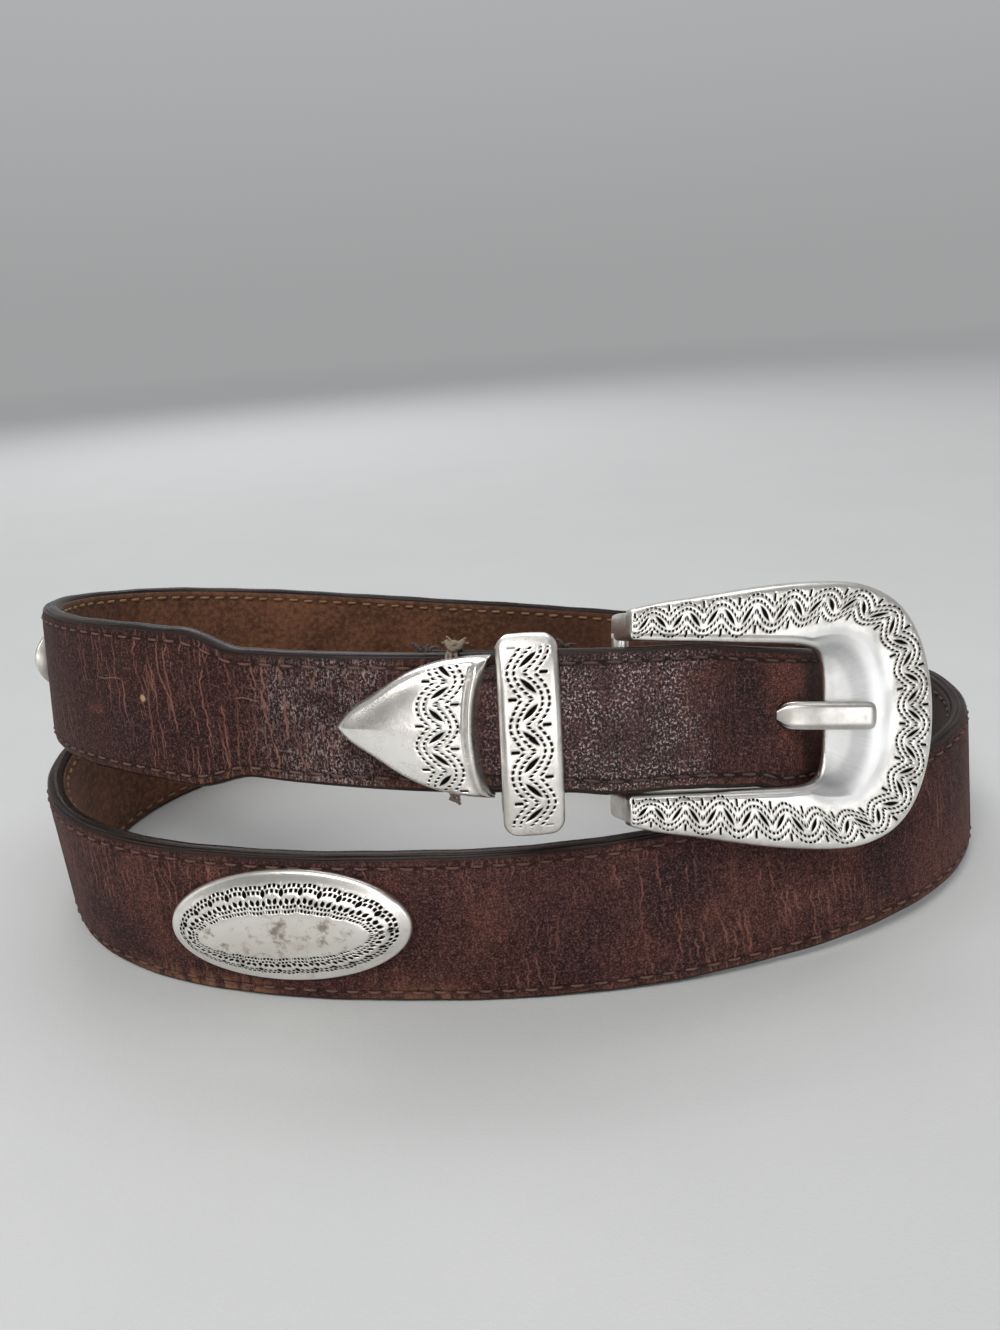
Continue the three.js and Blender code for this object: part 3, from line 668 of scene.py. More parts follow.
M_LEATHER = leather_material()
M_LINING = lining_material()
M_STITCH = thread_material("brown_thread", (0.060, 0.027, 0.021), (0.150, 0.078, 0.058))
M_TAN = thread_material("golden_thread", (0.16, 0.082, 0.036), (0.27, 0.150, 0.070))
M_KNOT = thread_material("waxed_thread", (0.10, 0.075, 0.052), (0.27, 0.21, 0.155), 0.7)
M_BROWNTHREAD = thread_material("dark_brown_thread", (0.030, 0.015, 0.013), (0.092, 0.050, 0.042))
M_DARKTHREAD = thread_material("dark_thread", (0.018, 0.013, 0.011), (0.06, 0.045, 0.038), 0.6)


# ---- strap: top leather with its painted edges, and the folded buckle end -------------------
def low_side(s):
    """How much further down the billet's lower edge lies inside the buckle; less than nothing inside the tip."""
    return 2.2 * smooth(966, 984, s) - 1.2 * smooth(991.5, 996.5, s) - 0.28 * smooth(1013, 1020, s) - 0.72 * smooth(1029, 1037, s) - 0.9 * smooth(1039, 1048.5, s)


def top_side(s):
    """How much further down the billet's upper edge lies inside the tip."""
    return 2.7 * smooth(1039, 1048.5, s)


def leather_rows():
    """s, offset of the middle, half width, thickness, length along the leather."""
    rows = []
    mid = WRAP_R + LEATHER_T / 2
    flap_n = -(STRAP_T / 2 + 0.3 + LEATHER_T / 2)
    for s in np.arange(FLAP_END, 5.2, -0.8):
        n = flap_n + (BAR_N - mid - flap_n) * (1 - smooth(3, 14, s))
        end = FLAP_END - s
        half = END_W / 2 - max(0.0, s - 38) * 0.55 - 1.6 * max(0.0, 1 - end / 1.6) ** 2
        rows.append([s, n, half, LEATHER_T - max(0.0, s - 36) * 0.13])
    for a in np.linspace(-math.pi / 2, -1.5 * math.pi, 26):
        rows.append([BAR_S + mid * math.cos(a), BAR_N + mid * math.sin(a), END_W / 2, LEATHER_T])
    for s in np.arange(BAR_S + 0.6, LEATHER_END, 0.62):
        t = LEATHER_T + (3.85 - LEATHER_T) * float(smooth(6.0, 9.0, s))
        rows.append([s, STRAP_T / 2 - t / 2, float(width(s)) / 2, t])
    return np.array(rows)


def sweep_frames(rows):
    p, t, w, n = strap_frame(rows[:, 0])
    d = np.gradient(rows[:, :2], axis=0)
    d = d / np.linalg.norm(d, axis=1, keepdims=True)
    g = n * d[:, 0:1] - t * d[:, 1:2]
    return p + n * rows[:, 1:2], w, g


def make_leather():
    rows = leather_rows()
    o, w, g = sweep_frames(rows)
    h, T = rows[:, 2:3], rows[:, 3:4]
    re = np.minimum(1.35, T * 0.45)
    side = [1.45, 1.75, 2.05, 2.28, 2.5, 2.72, 2.95, 3.3, 4.2]          # distances in from the edge
    mids = np.linspace(-1, 1, 9)[1:-1]
    B = np.concatenate([-(h - np.array(side)[None, :]), (h - 5.0) * mids[None, :], (h - np.array(side)[::-1][None, :])], 1)
    e = h - np.abs(B)
    G = T / 2 + 0.10 * smooth(2.6, 4.5, e) - 0.24 * np.exp(-((e - INSET) / 0.26) ** 2) - 0.16 * (1 - smooth(1.3, 2.4, e))
    hand = 0.10 * np.sin(rows[:, 0:1] * 0.19 + 1.0) + 0.07 * np.sin(rows[:, 0:1] * 0.47 + B * 0.05)
    nb = 9
    ph = np.linspace(math.pi / 2, -math.pi / 2, nb)
    co, si = np.abs(np.cos(ph)) ** 0.85, np.sign(np.sin(ph)) * np.abs(np.sin(ph)) ** 0.85
    rise = T / 2 - 0.16
    Br = (h - re) + re * co[None, :]
    Gr = rise * si[None, :]
    er = -np.linspace(0, 1, nb)[None, :] * (T + re) + 1.2 - 1.2 * np.minimum(1, np.linspace(0, 4, nb))[None, :]
    back = np.array([0.66, 0.0, -0.66])
    Bb = (h - re) * back[None, :]
    Gb = -T / 2 + 0 * Bb
    # right edge is walked from the face down, the left edge from the back up
    allB = np.concatenate([B, Br, Bb, -Br[:, ::-1]], 1)
    allG = np.concatenate([G, Gr, Gb, Gr[:, ::-1]], 1)
    allE = np.concatenate([e, er + 0 * Br, -9 + 0 * Bb, (er + 0 * Br)[:, ::-1]], 1)
    k = allB.shape[1]
    free = ((rows[:, 0:1] > 60) & (rows[:, 0:1] < 980)).astype(float)
    allB = allB + hand[:, :1] * free * 0.6 - low_side(rows[:, 0:1]) * smooth(0.0, 7.5, -allB) - top_side(rows[:, 0:1]) * smooth(0.0, 7.5, allB)
    P = o[:, None] + w[:, None] * allB[..., None] + g[:, None] * allG[..., None]
    P[..., 2] = np.maximum(P[..., 2], 0.0)
    run = np.concatenate([[0], np.cumsum(np.hypot(np.diff(rows[:, 0]), np.diff(rows[:, 1])))])
    start = run[np.argmin(np.abs(rows[:, 0] - (BAR_S + 0.6)) + 100 * (rows[:, 1] < 0))]
    S = run - start + BAR_S + 0.6
    lay = np.stack([np.repeat(S[:, None], k, 1), allB, allE], -1)
    nrow = len(rows)
    faces = [grid_faces(nrow, k, close_cols=True), np.array([list(range(k))[::-1]]), np.array([[(nrow - 1) * k + j for j in range(k)]])]
    b = Build()
    b.add(P, out_facing(P, faces), lay=lay)
    return b.make("strap_leather", M_LEATHER)


def make_lining():
    s = np.arange(6.6, LEATHER_END - 0.4, 0.9)
    h = width(s)[:, None] / 2 - 0.85
    q = np.array([-1, -0.975, -0.93])
    side = np.array([0.0, 0.35, 0.9, 1.3, 1.65, 2.1, 3.4])
    B = np.concatenate([-(h - side[None, :]), (h - 4.5) * np.linspace(-1, 1, 6)[None, 1:-1], (h - side[None, ::-1])], 1)
    e = h + 0.85 - np.abs(B)
    N = -(STRAP_T / 2) + 0.24 * (1 - smooth(0.8, 1.5, e)) + 0.16 * np.exp(-((e - INSET) / 0.3) ** 2) + 0 * B
    Bt = h * np.array([0.98, 0.5, 0.0, -0.5, -0.98])[None, :]
    Nt = -1.35 + 0 * Bt
    allB, allN = np.concatenate([B, Bt], 1), np.concatenate([N, Nt], 1)
    allB = allB - np.minimum(low_side(s), 0)[:, None] * smooth(0.0, 7.5, -allB) - top_side(s)[:, None] * smooth(0.0, 7.5, allB)
    p, t, w, n = strap_frame(s)
    P = p[:, None] + w[:, None] * allB[..., None] + n[:, None] * allN[..., None]
    P[..., 2] = np.maximum(P[..., 2], 0.05)
    k = allB.shape[1]
    lay = np.stack([np.repeat(s[:, None], k, 1) + 300, allB, np.concatenate([e, 5 + 0 * Bt], 1)], -1)
    faces = [grid_faces(len(s), k, close_cols=True), np.array([list(range(k))[::-1]]), np.array([[(len(s) - 1) * k + j for j in range(k)]])]
    b = Build()
    b.add(P, out_facing(P, faces), lay=lay)
    return b.make("strap_lining_face", M_LINING)


def stitch_rows(name, mat, s0, s1, surface, out, radius, pitch, share, sink):
    """Two rows of stitches: short bowed threads whose ends dip into their holes."""
    b = Build()
    k, m = 7, 6
    for sgn in (1, -1):
        s = np.arange(s0, s1, pitch)
        s = s + RNG.uniform(-0.12, 0.12, len(s))
        ln = pitch * share * RNG.uniform(0.92, 1.04, len(s))
        u = np.linspace(-0.5, 0.5, k)
        S = s[:, None] + ln[:, None] * u[None, :]
        V = sgn * (width(S) / 2 - INSET) - (low_side(S) if sgn < 0 else top_side(S)) + RNG.uniform(-0.08, 0.08, len(s))[:, None] + 0.10 * u[None, :]
        H = surface + out * (radius * 0.55 - sink * (2 * np.abs(u)) ** 3)[None, :] + 0 * S
        p, t, w, n = strap_frame(S)
        c = p + n * H[..., None] + w * V[..., None]
        a = np.linspace(0, 2 * np.pi, m, endpoint=False)
        r = radius * np.array([0.55, 0.92, 1, 1.04, 1, 0.92, 0.55])
        ringp = c[:, :, None] + r[None, :, None, None] * (w[:, :, None] * np.cos(a)[:, None] + n[:, :, None] * np.sin(a)[:, None])
        base = grid_faces(k, m, close_cols=True)
        ends = [np.array([list(range(m))[::-1]]), np.array([[(k - 1) * m + j for j in range(m)]])]
        f = out_facing(ringp[0], [base] + ends)
        off = (np.arange(len(s)) * k * m)[:, None, None]
        quads = (f[0][None] + off).reshape(-1, 4)
        caps = np.concatenate([(x[None] + off).reshape(-1, m) for x in f[1:]])
        b.add(ringp, [quads, caps])
    return b.make(name, mat)


# ---- metal pieces ---------------------------------------------------------------------------
BUCKLE_AT = mount_frame(BAR_S, 0, FRAME_TURN)
LUG_U, LUG_LONG = 0.1, 4.4
HORSESHOE = np.array([
    # outer u, outer v, inner u, inner v
    [-2.2, 18.9, -2.2, 13.5], [4, 20.4, 4, 13.4], [10.2, 21.4, 10, 13.4], [17, 22.6, 16.5, 13.4],
    [24.3, 23.8, 23, 13.4], [31.5, 24.7, 29, 13.4], [39, 25.2, 33.5, 13.2], [46, 24.9, 36.6, 12.3],
    [53, 22.5, 38.2, 10.5], [58.3, 17.4, 38.9, 7.6], [61.6, 9.2, 39, 3.9], [62.6, 0, 39, 0]])


def superbox(build, f, c, half, e=0.22, taper=0.0, rows=14, cols=28, **attrs):
    """A rounded block centred at c with half sizes half, in the rigid frame f; taper narrows its deep end."""
    th = np.linspace(-math.pi / 2, math.pi / 2, rows)[1:-1]
    ph = np.linspace(0, 2 * math.pi, cols, endpoint=False)
    pw = lambda x: np.sign(x) * np.abs(x) ** e
    x = pw(np.cos(th))[:, None] * pw(np.cos(ph))[None]
    y = pw(np.cos(th))[:, None] * pw(np.sin(ph))[None]
    z = pw(np.sin(th))[:, None] + 0 * x
    x = x * (1 - taper * (1 - z) / 2) + 0.10 * taper * (1 - z)
    P = np.stack([x, y, z], -1) * np.array(half) + np.array(c)
    P = placed(P, f)
    r, k = P.shape[:2]
    faces = [grid_faces(r, k, close_cols=True), np.array([list(range(k))[::-1]]), np.array([[(r - 1) * k + j for j in range(k)]])]
    build.add(P, out_facing(P, faces), **attrs)


def make_buckle():
    H = np.vstack([HORSESHOE, HORSESHOE[:-1][::-1] * [1, -1, 1, -1]])
    idx = np.arange(len(H))
    cols = [spline(idx, H[:, k]) for k in range(4)]
    # even steps along the middle of the engraved band
    t = np.linspace(0, len(H) - 1, 4000)
    uo, vo, ui, vi = [c(t) for c in cols]
    d = np.hypot(uo - ui, vo - vi)
    wc = np.minimum(d / 2, 5.2)
    cu, cv = uo + (ui - uo) * wc / d, vo + (vi - vo) * wc / d
    ds = np.hypot(np.diff(cu), np.diff(cv))
    arc = np.concatenate([[0], np.cumsum(ds)])
    step = np.concatenate([[0], ds / (CELL * (0.76 + 0.07 * smooth(6, 10, d[1:])))])
    cell = np.cumsum(step)
    total = cell[-1]
    whole = round(total - 0.4)
    cell = (cell - total / 2) * (whole + 0.4) / total + whole / 2      # whole cells, even at both ends
    L = arc[-1]
    q = np.concatenate([[0, 0.06, 0.2, 0.42, 0.7], np.linspace(1.0, L - 1.0, 800), L - np.array([0.7, 0.42, 0.2, 0.06, 0])])
    at = np.interp(q, arc, t)
    uo, vo, ui, vi = [c(at)[:, None] for c in cols]
    d = np.hypot(uo - ui, vo - vi)
    a = np.interp(q, arc, cell)[:, None]
    size = np.clip(0.105 * d - 0.03, 0.50, 0.93)       # the pattern narrows with the horns
    wc = np.minimum(d / 2, 5.2)
    scoop = np.maximum(0, d - BAND)
    low = FACE - 0.5 - 1.9 * np.minimum(1, scoop / 10)
    crest = np.maximum(0.9, scoop)
    ro = 1.9 * np.minimum(1, d / 9)
    # across: inner wall, inner rounding, cove, band, outer rounding, wall, back
    X, N = [], []

    def col(x, n):
        X.append(x + 0 * d)
        N.append(n + 0 * d)
    bw = 0.5
    col(bw, BACK)
    col(0.12, BACK + 0.12)
    col(0, BACK + bw)
    inner_top = low - 0.75
    col(0, inner_top)
    for f in np.linspace(0, 1, 5)[1:]:
        ang = f * math.pi / 2
        col(0.75 * (1 - np.cos(ang)), inner_top + 0.75 * np.sin(ang))
    for f in np.linspace(0, 1, 13)[1:]:
        x = 0.75 + (np.maximum(crest, 1.5) - 0.75) * f
        g = f ** 1.9 * (1 - f) + (1 - (1 - f) ** 1.5) * f
        col(x, low + (FACE - low) * g)
    x0 = np.maximum(crest, 1.5)
    x1 = d - ro
    for f in np.linspace(0, 1, 72)[1:]:
        x = x0 + (x1 - x0) * f
        col(x, FACE + 0.16 * (1 - (2 * f - 1) ** 2) - 0.10 * f * (1 - f))
    for f in np.linspace(0, 1, 8)[1:]:
        ang = f * math.pi / 2
        col(d - ro * (1 - np.sin(ang)), FACE - ro * 0.9 * (1 - np.cos(ang)))
    col(d, BACK + bw)
    col(d - 0.12, BACK + 0.12)
    col(d - bw, BACK)
    col(d * 0.66, BACK)
    col(d * 0.33, BACK)
    X, N = np.concatenate(X, 1), np.concatenate(N, 1)
    b = (X - (d - wc)) / size
    top = (N > FACE - 0.6) & (X > x0 - 0.5) & (X < x1 + 0.8)
    depth = zigzag(a + 0 * X, b, -0.1, whole + 0.1, 0.35, 0.22) * top
    # soft hand-polished unevenness
    N = N - 0.24 * depth + 0.03 * np.sin(a * 1.7 + b * 0.9) * top
    U, V = ui + (uo - ui) * X / d, vi + (vo - vi) * X / d
    P = np.stack([U, V, N], -1)
    # rounded horn ends
    for k, row in list(enumerate(range(5))) + [(k, len(q) - 1 - k) for k in range(5)]:
        x = min(q[row], L - q[row])
        f = math.sqrt(max(0.0, 1 - (1 - x / 1.0) ** 2))
        c = P[row].mean(0)
        half = np.ptp(P[row], axis=0) / 2
        g = np.maximum(0.2, (half - 1.0 + f) / np.maximum(half, 0.5))
        g[0] = 1
        P[row] = c + (P[row] - c) * g
    P = placed(P, BUCKLE_AT)
    rows, k = X.shape
    band = np.stack([a + 0 * X, np.where(N > BACK + 1.2, b, 30), X], -1)
    faces = [grid_faces(rows, k, close_cols=True), np.array([list(range(k))[::-1]]), np.array([[(rows - 1) * k + j for j in range(k)]])]
    m = Build()
    m.add(P, out_facing(P, faces), band=band)
    far = lambda n: np.tile([0.0, 30.0, 0.0], (n, 1))
    for side in (1, -1):
        superbox(m, BUCKLE_AT, [LUG_U, side * 16.1, 0.8], [LUG_LONG / 2 - 0.02, 2.5, 5.15], 0.34, 0.26, band=far(12 * 28))
    v = np.linspace(-15, 15, 31)
    bar = placed(np.stack([0 * v, v, BAR_N + 0 * v], -1), BUCKLE_AT)
    tube(m, bar, BAR_R, 24, band=far(31 * 24))
    return m.make("buckle", silver_material("engraved_silver_buckle", (-0.1, whole + 0.1), 1.0, 0.22, cove=True)), whole


def prong_bar(k, grow=0.0):
    """Rings of the prong's bar at the places k along its line, made larger all round by grow."""
    line = np.array([[2.4, -1.9], [8, -1.3], [15, -0.9], [21, -0.7], [25, -0.1], [28, 1.5], [30.8, 3.8], [34.5, 5.8], [40, 7.2], [44.5, 8.0], [47.4, 8.35]])
    i = np.arange(len(line))
    us, ns = spline(i, line[:, 0]), spline(i, line[:, 1])
    u, n = us(k), ns(k)
    du, dn = us(k + 0.01) - us(k - 0.01), ns(k + 0.01) - ns(k - 0.01)
    ln = np.hypot(du, dn)
    du, dn = du / ln, dn / ln
    left = np.hypot(line[-1, 0] - u, line[-1, 1] - n)
    end = np.sqrt(np.clip(1 - (1 - np.minimum(left, 1.7) / 1.7) ** 2, 0.0, 1))
    nose = np.sqrt(np.clip(1 - (1 - np.clip((u - 29.6) / 2.7, 0, 1)) ** 2, 0, 1))
    neck = np.maximum(0.50, np.maximum(nose, 1 - smooth(17, 23, u)))       # it narrows where it goes through the leather
    hh = 2.6 * (0.55 + 0.45 * end) * neck + grow
    tt = 1.1 * (0.35 + 0.65 * end) + grow
    a = np.linspace(0, 2 * math.pi, 40, endpoint=False)
    pw = lambda x, e: np.sign(x) * np.abs(x) ** e
    V = hh[:, None] * pw(np.cos(a), 0.42)[None]
    W = tt[:, None] * pw(np.sin(a), 0.5)[None]
    # flat upper face with long bevels towards its two sides
    W = np.where(W > 0, np.minimum(W, tt[:, None] * (1.0 - 0.55 * smooth(0.62, 1.0, np.abs(V) / hh[:, None]))), W)
    P = placed(np.stack([u[:, None] - dn[:, None] * W, V, n[:, None] + du[:, None] * W], -1), BUCKLE_AT)
    rows, c = W.shape
    faces = [grid_faces(rows, c, close_cols=True), np.array([list(range(c))[::-1]]), np.array([[(rows - 1) * c + j for j in range(c)]])]
    band = np.stack([np.repeat(u[:, None] / 4, c, 1), V + 30, W], -1)
    return P, out_facing(P, faces), band


def make_prong():
    k = np.concatenate([np.linspace(0, 9.55, 90), 10 - np.array([0.38, 0.3, 0.22, 0.15, 0.09, 0.045, 0.015, 0.0])])
    P, faces, band = prong_bar(k)
    m = Build()
    m.add(P, faces, band=band)
    ring_r, hw = (BAR_R + 0.3, BAR_R + 2.0), 2.6
    sec = [(ring_r[0], -hw + 0.3), (ring_r[0] + 0.3, -hw), (ring_r[1] - 0.4, -hw), (ring_r[1], -hw + 0.5), (ring_r[1], hw - 0.5), (ring_r[1] - 0.4, hw), (ring_r[0] + 0.3, hw), (ring_r[0], hw - 0.3)]
    th = np.linspace(0, 2 * math.pi, 48, endpoint=False)
    R = np.array([[[r * math.cos(x), v, BAR_N + r * math.sin(x)] for r, v in sec] for x in th])
    R = placed(R, BUCKLE_AT)
    m.add(R, out_facing(R, [grid_faces(48, len(sec), True, True)]), band=np.tile([0.0, 30.0, 0.0], (48 * len(sec), 1)))
    return m.make("prong_tongue", silver_material("plain_silver_prong", None, 0.66))


def chaikin(p, times):
    for _ in range(times):
        nxt = np.roll(p, -1, axis=0)
        p = np.stack([p * 0.75 + nxt * 0.25, p * 0.25 + nxt * 0.75], 1).reshape(-1, 2)
    return p


def make_keeper():
    right = np.array([[0, 10.0], [6, 9.85], [11, 9.3], [15, 8.3], [17.3, 7.0], [17.2, 5.8], [15.9, 3.6], [15.5, 0], [15.4, -5.0], [14.0, -7.1]])
    inner = np.array([[0, 7.8], [13.4, 7.8], [14.1, 7.0], [14.1, -4.7], [13.3, -5.5], [0, -5.5], [-13.3, -5.5], [-14.1, -4.7], [-14.1, 7.0], [-13.4, 7.8]])
    outer = np.vstack([right, right[1:][::-1] * [-1, 1]])
    outer, inner = chaikin(outer, 4), chaikin(inner, 3)

    def param(p):
        p = np.vstack([p, p[:1]])
        s = np.concatenate([[0], np.cumsum(np.hypot(*np.diff(p, axis=0).T))])
        return p, s
    po, so = param(outer)
    pi, si = param(inner)
    # start both at the middle of the front, v = 0
    k0 = np.argmin(np.abs(po[:-1, 0]) + 100 * (po[:-1, 1] < 5))
    k1 = np.argmin(np.abs(pi[:-1, 0]) + 100 * (pi[:-1, 1] < 5))
    po, so = param(np.roll(outer, -k0, axis=0))
    pi, si = param(np.roll(inner, -k1, axis=0))
    front = 18.6
    t = np.concatenate([np.arange(0, front, 0.17), np.linspace(front, so[-1] - front, 90), so[-1] - np.arange(front, 0, -0.17)[1:]])
    O = np.stack([np.interp(t, so, po[:, 0]), np.interp(t, so, po[:, 1])], -1)
    I = np.stack([np.interp(t / so[-1] * si[-1], si, pi[:, 0]), np.interp(t / so[-1] * si[-1], si, pi[:, 1])], -1)
    tan = np.roll(O, -1, 0) - np.roll(O, 1, 0)
    tan = tan / np.linalg.norm(tan, axis=1, keepdims=True)
    nor = np.stack([tan[:, 1], -tan[:, 0]], -1)
    if np.sum(nor * O) < 0:
        nor = -nor
    wide, r = 10.7 / 2, 1.5
    ph = np.linspace(0, math.pi / 2, 7)
    U = np.concatenate([-wide + r * (1 - np.sin(ph[::1])) * 0, []])
    left = [(-wide + r * (1 - math.sin(x)), r * 0.8 * (1 - math.cos(x))) for x in ph[::-1]]
    left = [(-wide + r * (1 - math.sin(x)), r * 0.8 * (1 - math.cos(x))) for x in ph[::-1]]
    prof = left + [(x, 0.0) for x in np.linspace(-wide + r, wide - r, 50)[1:-1]] + [(-x, y) for x, y in left[::-1]]
    prof = np.array(sorted(set((round(x, 5), round(y, 5)) for x, y in prof)))
    # a soft crown across, highest in the middle
    crown = 0.22 * (1 - (prof[:, 0] / wide) ** 2)
    up = np.where(t < so[-1] / 2, t, t - so[-1])            # arc from the middle of the front, + is one way
    y = np.where(O[:, 0] > 0, np.abs(up), -np.abs(up))
    a = (15.6 - y) / 4.45
    b = -prof[:, 0] / 0.90
    face = ((np.abs(y) < 17.2) & (O[:, 1] > 5.5))[:, None] & (prof[:, 1] < 0.4)[None]
    depth = zigzag(a[:, None] + 0 * b[None], b[None] + 0 * a[:, None], 0.02, 6.98, 0.32) * face
    off = crown[None] - prof[:, 1][None] - 0.34 * depth
    P = np.zeros((len(t), len(prof), 3))
    P[..., 0] = prof[:, 0][None]
    P[..., 1] = O[:, 0:1] + nor[:, 0:1] * off
    P[..., 2] = O[:, 1:2] + nor[:, 1:2] * off
    iu = np.array([wide - 0.25, wide / 2, 0.0, -wide / 2, -wide + 0.25])
    Q = np.zeros((len(t), 5, 3))
    Q[..., 0] = iu[None]
    Q[..., 1] = I[:, 0:1]
    Q[..., 2] = I[:, 1:2]
    corner = np.clip((np.abs(O[:, 0]) - 15.0) / 2.35, 0, 1)
    P[..., 0] *= (1 - 1.45 / wide * (1 - np.sqrt(1 - corner ** 2)))[:, None]
    P[..., 1] -= 1.2
    Q[..., 1] -= 0.8 - 0.4 * smooth(-6.0, 6.0, Q[..., 1])
    Q[..., 1] -= 0.4 * smooth(6.0, -6.0, Q[..., 1])
    allP = np.concatenate([P, Q], 1)
    allP[..., 0] += 0.10 * (7.0 - allP[..., 2])           # it sits a little askew
    band = np.zeros_like(allP)
    band[:, :len(prof), 0] = a[:, None]
    band[:, :len(prof), 1] = np.where(face, b[None] + 0 * a[:, None], 30)
    band[:, len(prof):, 1] = 30
    band[..., 2] = allP[..., 2]
    f = mount_frame(20.7, -0.2, 2.0)
    allP = placed(allP, f)
    m = Build()
    m.add(allP, out_facing(allP, [grid_faces(len(t), allP.shape[1], True, True)]), band=band)
    return m.make("keeper_loop", silver_material("engraved_silver_keeper", (0.02, 6.98)))


def make_tip():
    arrow = np.array([[-15.2, 0], [-14.6, 0.95], [-10, 5.2], [-4.5, 9.2], [1.5, 12.1], [7, 13.3], [11.6, 13.6]])
    H = lambda u: np.maximum(0.05, np.interp(u, np.linspace(-15.2, 11.6, 200), np.maximum(0, spline(arrow[:, 0], arrow[:, 1])(np.linspace(-15.2, 11.6, 200)))))
    npq = 126
    p = np.linspace(0, 1, npq) ** 1.0
    p[0] = 0.004
    q = np.sin(np.linspace(-1, 1, npq) * math.pi / 2 * 0.80) / math.sin(math.pi / 2 * 0.80)
    u0 = -15.2 + p * 26.8
    rear = 11.6 - 1.9 * (1 - q * q)
    Ug = -15.2 + p[:, None] * (rear[None] + 15.2)
    half = H(u0)[:, None]
    Vg = q[None] * half
    e = (1 - np.abs(q))[None] * half * 0.93
    er = rear[None] - Ug
    rr = np.minimum(e, er * 1.0)
    rr = -np.log(np.exp(-e * 3) + np.exp(-er * 3) + 1e-9) / 3
    rr = np.clip(rr, 0, 1.5)
    top = 0.6 + 1.45 * np.sqrt(np.clip(1 - (1 - rr / 1.5) ** 2, 0, 1))
    dome = 1.80 * (1 - np.exp(-np.maximum(0, e) / 3.6))
    top = top + dome * smooth(-0.6, 2.0, er)
    lip = 0.60 * np.exp(-((er - 1.9) / 0.72) ** 2) - 0.50 * np.exp(-((er - 3.3) / 0.95) ** 2)
    top = top + lip * smooth(0.3, 2.6, e)
    a = (13.3 - Vg) / 4.2
    b = -(er - 7.3) / 0.93
    face = (e > 0.75)
    depth = zigzag(a, b, 0.12, 6.2, 0.35) * face
    top = top - 0.34 * depth
    bottom = np.where((e > 1.5) & (Ug > -9.0), 2.2, -2.0)
    bottom = np.minimum(bottom, top - 0.5)
    rows = npq
    Vt = 0.90 * Vg - 0.034 * (Ug + 15.2)
    T = np.stack([Ug - 4.3, Vt, top], -1)
    D = np.stack([Ug - 4.3, Vt, bottom], -1)
    f = mount_frame(1057.0, 0, 0)
    # boundary loop of the grid, to close the rim
    g = grid_faces(rows, rows)
    n = rows * rows
    loop = [j for j in range(rows)] + [i * rows + rows - 1 for i in range(1, rows)] + [(rows - 1) * rows + j for j in range(rows - 2, -1, -1)] + [i * rows for i in range(rows - 2, 0, -1)]
    loop = np.array(loop)
    nx = np.roll(loop, -1)
    # a wall joins the rim of the top to the rim of the bottom
    wall = np.stack([loop, nx, nx + n, loop + n], -1)
    P = placed(np.concatenate([T.reshape(-1, 3), D.reshape(-1, 3)]), f)
    faces = [g, g[:, ::-1] + n, wall[:, ::-1]]
    band = np.zeros((2 * n, 3))
    band[:n, 0] = a.reshape(-1)
    band[:n, 1] = np.where(face, b, 30).reshape(-1)
    band[n:, 1] = 30
    band[:, 2] = np.concatenate([er.reshape(-1), er.reshape(-1)])
    m = Build()
    m.add(P, out_facing(P, faces), band=band)
    return m.make("arrow_tip", silver_material("engraved_silver_tip", (0.12, 6.2), 1.04, polish=0.12))


def make_concho(i, s, rise, turn, mat):
    A, B = 24.5, 12.0
    prof = np.array([[0.0, 0.45], [0.18, 0.85], [0.5, 1.15], [1.0, 1.36], [1.7, 1.62], [3.84, 2.95], [6.48, 4.05], [9.36, 4.68], [12.0, 4.9]])
    z = spline(prof[:, 0], prof[:, 1])
    th = np.linspace(0, 2 * math.pi, 4001)
    s_arc = np.concatenate([[0], np.cumsum(np.hypot(np.diff(19.8 * np.cos(th)), np.diff(7.3 * np.sin(th))))])
    m = 430
    tau = np.arange(m) / m
    theta = np.interp(tau * s_arc[-1], s_arc, th)
    ct, st = np.cos(theta), np.sin(theta)
    dl = np.concatenate([[0, 0.06, 0.18, 0.34, 0.55, 0.85, 1.2, 1.55], np.linspace(1.8, 7.9, 40), np.linspace(8.3, 11.7, 9)])
    rows, band = [], []
    for z0 in (0.0, 0.2):
        rows.append(np.stack([A * ct, B * st, z0 + 0 * ct], -1))
        band.append(np.stack([tau, 0 * tau, tau * 0], -1))
    for d in dl:
        if d <= 8.0:
            x, y = (A - d) * ct, (B - d) * st
        else:
            k = max(0.03, 1 - (d - 8.0) / 3.75)
            x, y = 16.5 * k * ct, 4.0 * k * st
        depth = ring(tau, d + 0 * tau, 0.34) if 1.7 < d < 8.0 else 0 * tau
        zz = float(z(d)) - 0.26 * depth + 0.03 * np.sin(tau * 25 + d)
        rows.append(np.stack([x, y, zz], -1))
        band.append(np.stack([tau, d + 0 * tau, tau * 0], -1))
    P = np.stack(rows)
    r = len(P)
    f = list(mount_frame(s, rise, turn))
    f[0] = f[0] + f[3] * (STRAP_T / 2 + 0.12)
    P = placed(P, f)
    faces = [grid_faces(r, m, close_cols=True), np.array([list(range(m))[::-1]]), np.array([[(r - 1) * m + j for j in range(m)]])]
    b = Build()
    b.add(P, out_facing(P, faces), band=np.stack(band))
    return b.make(f"concho_{i}_dome", mat)


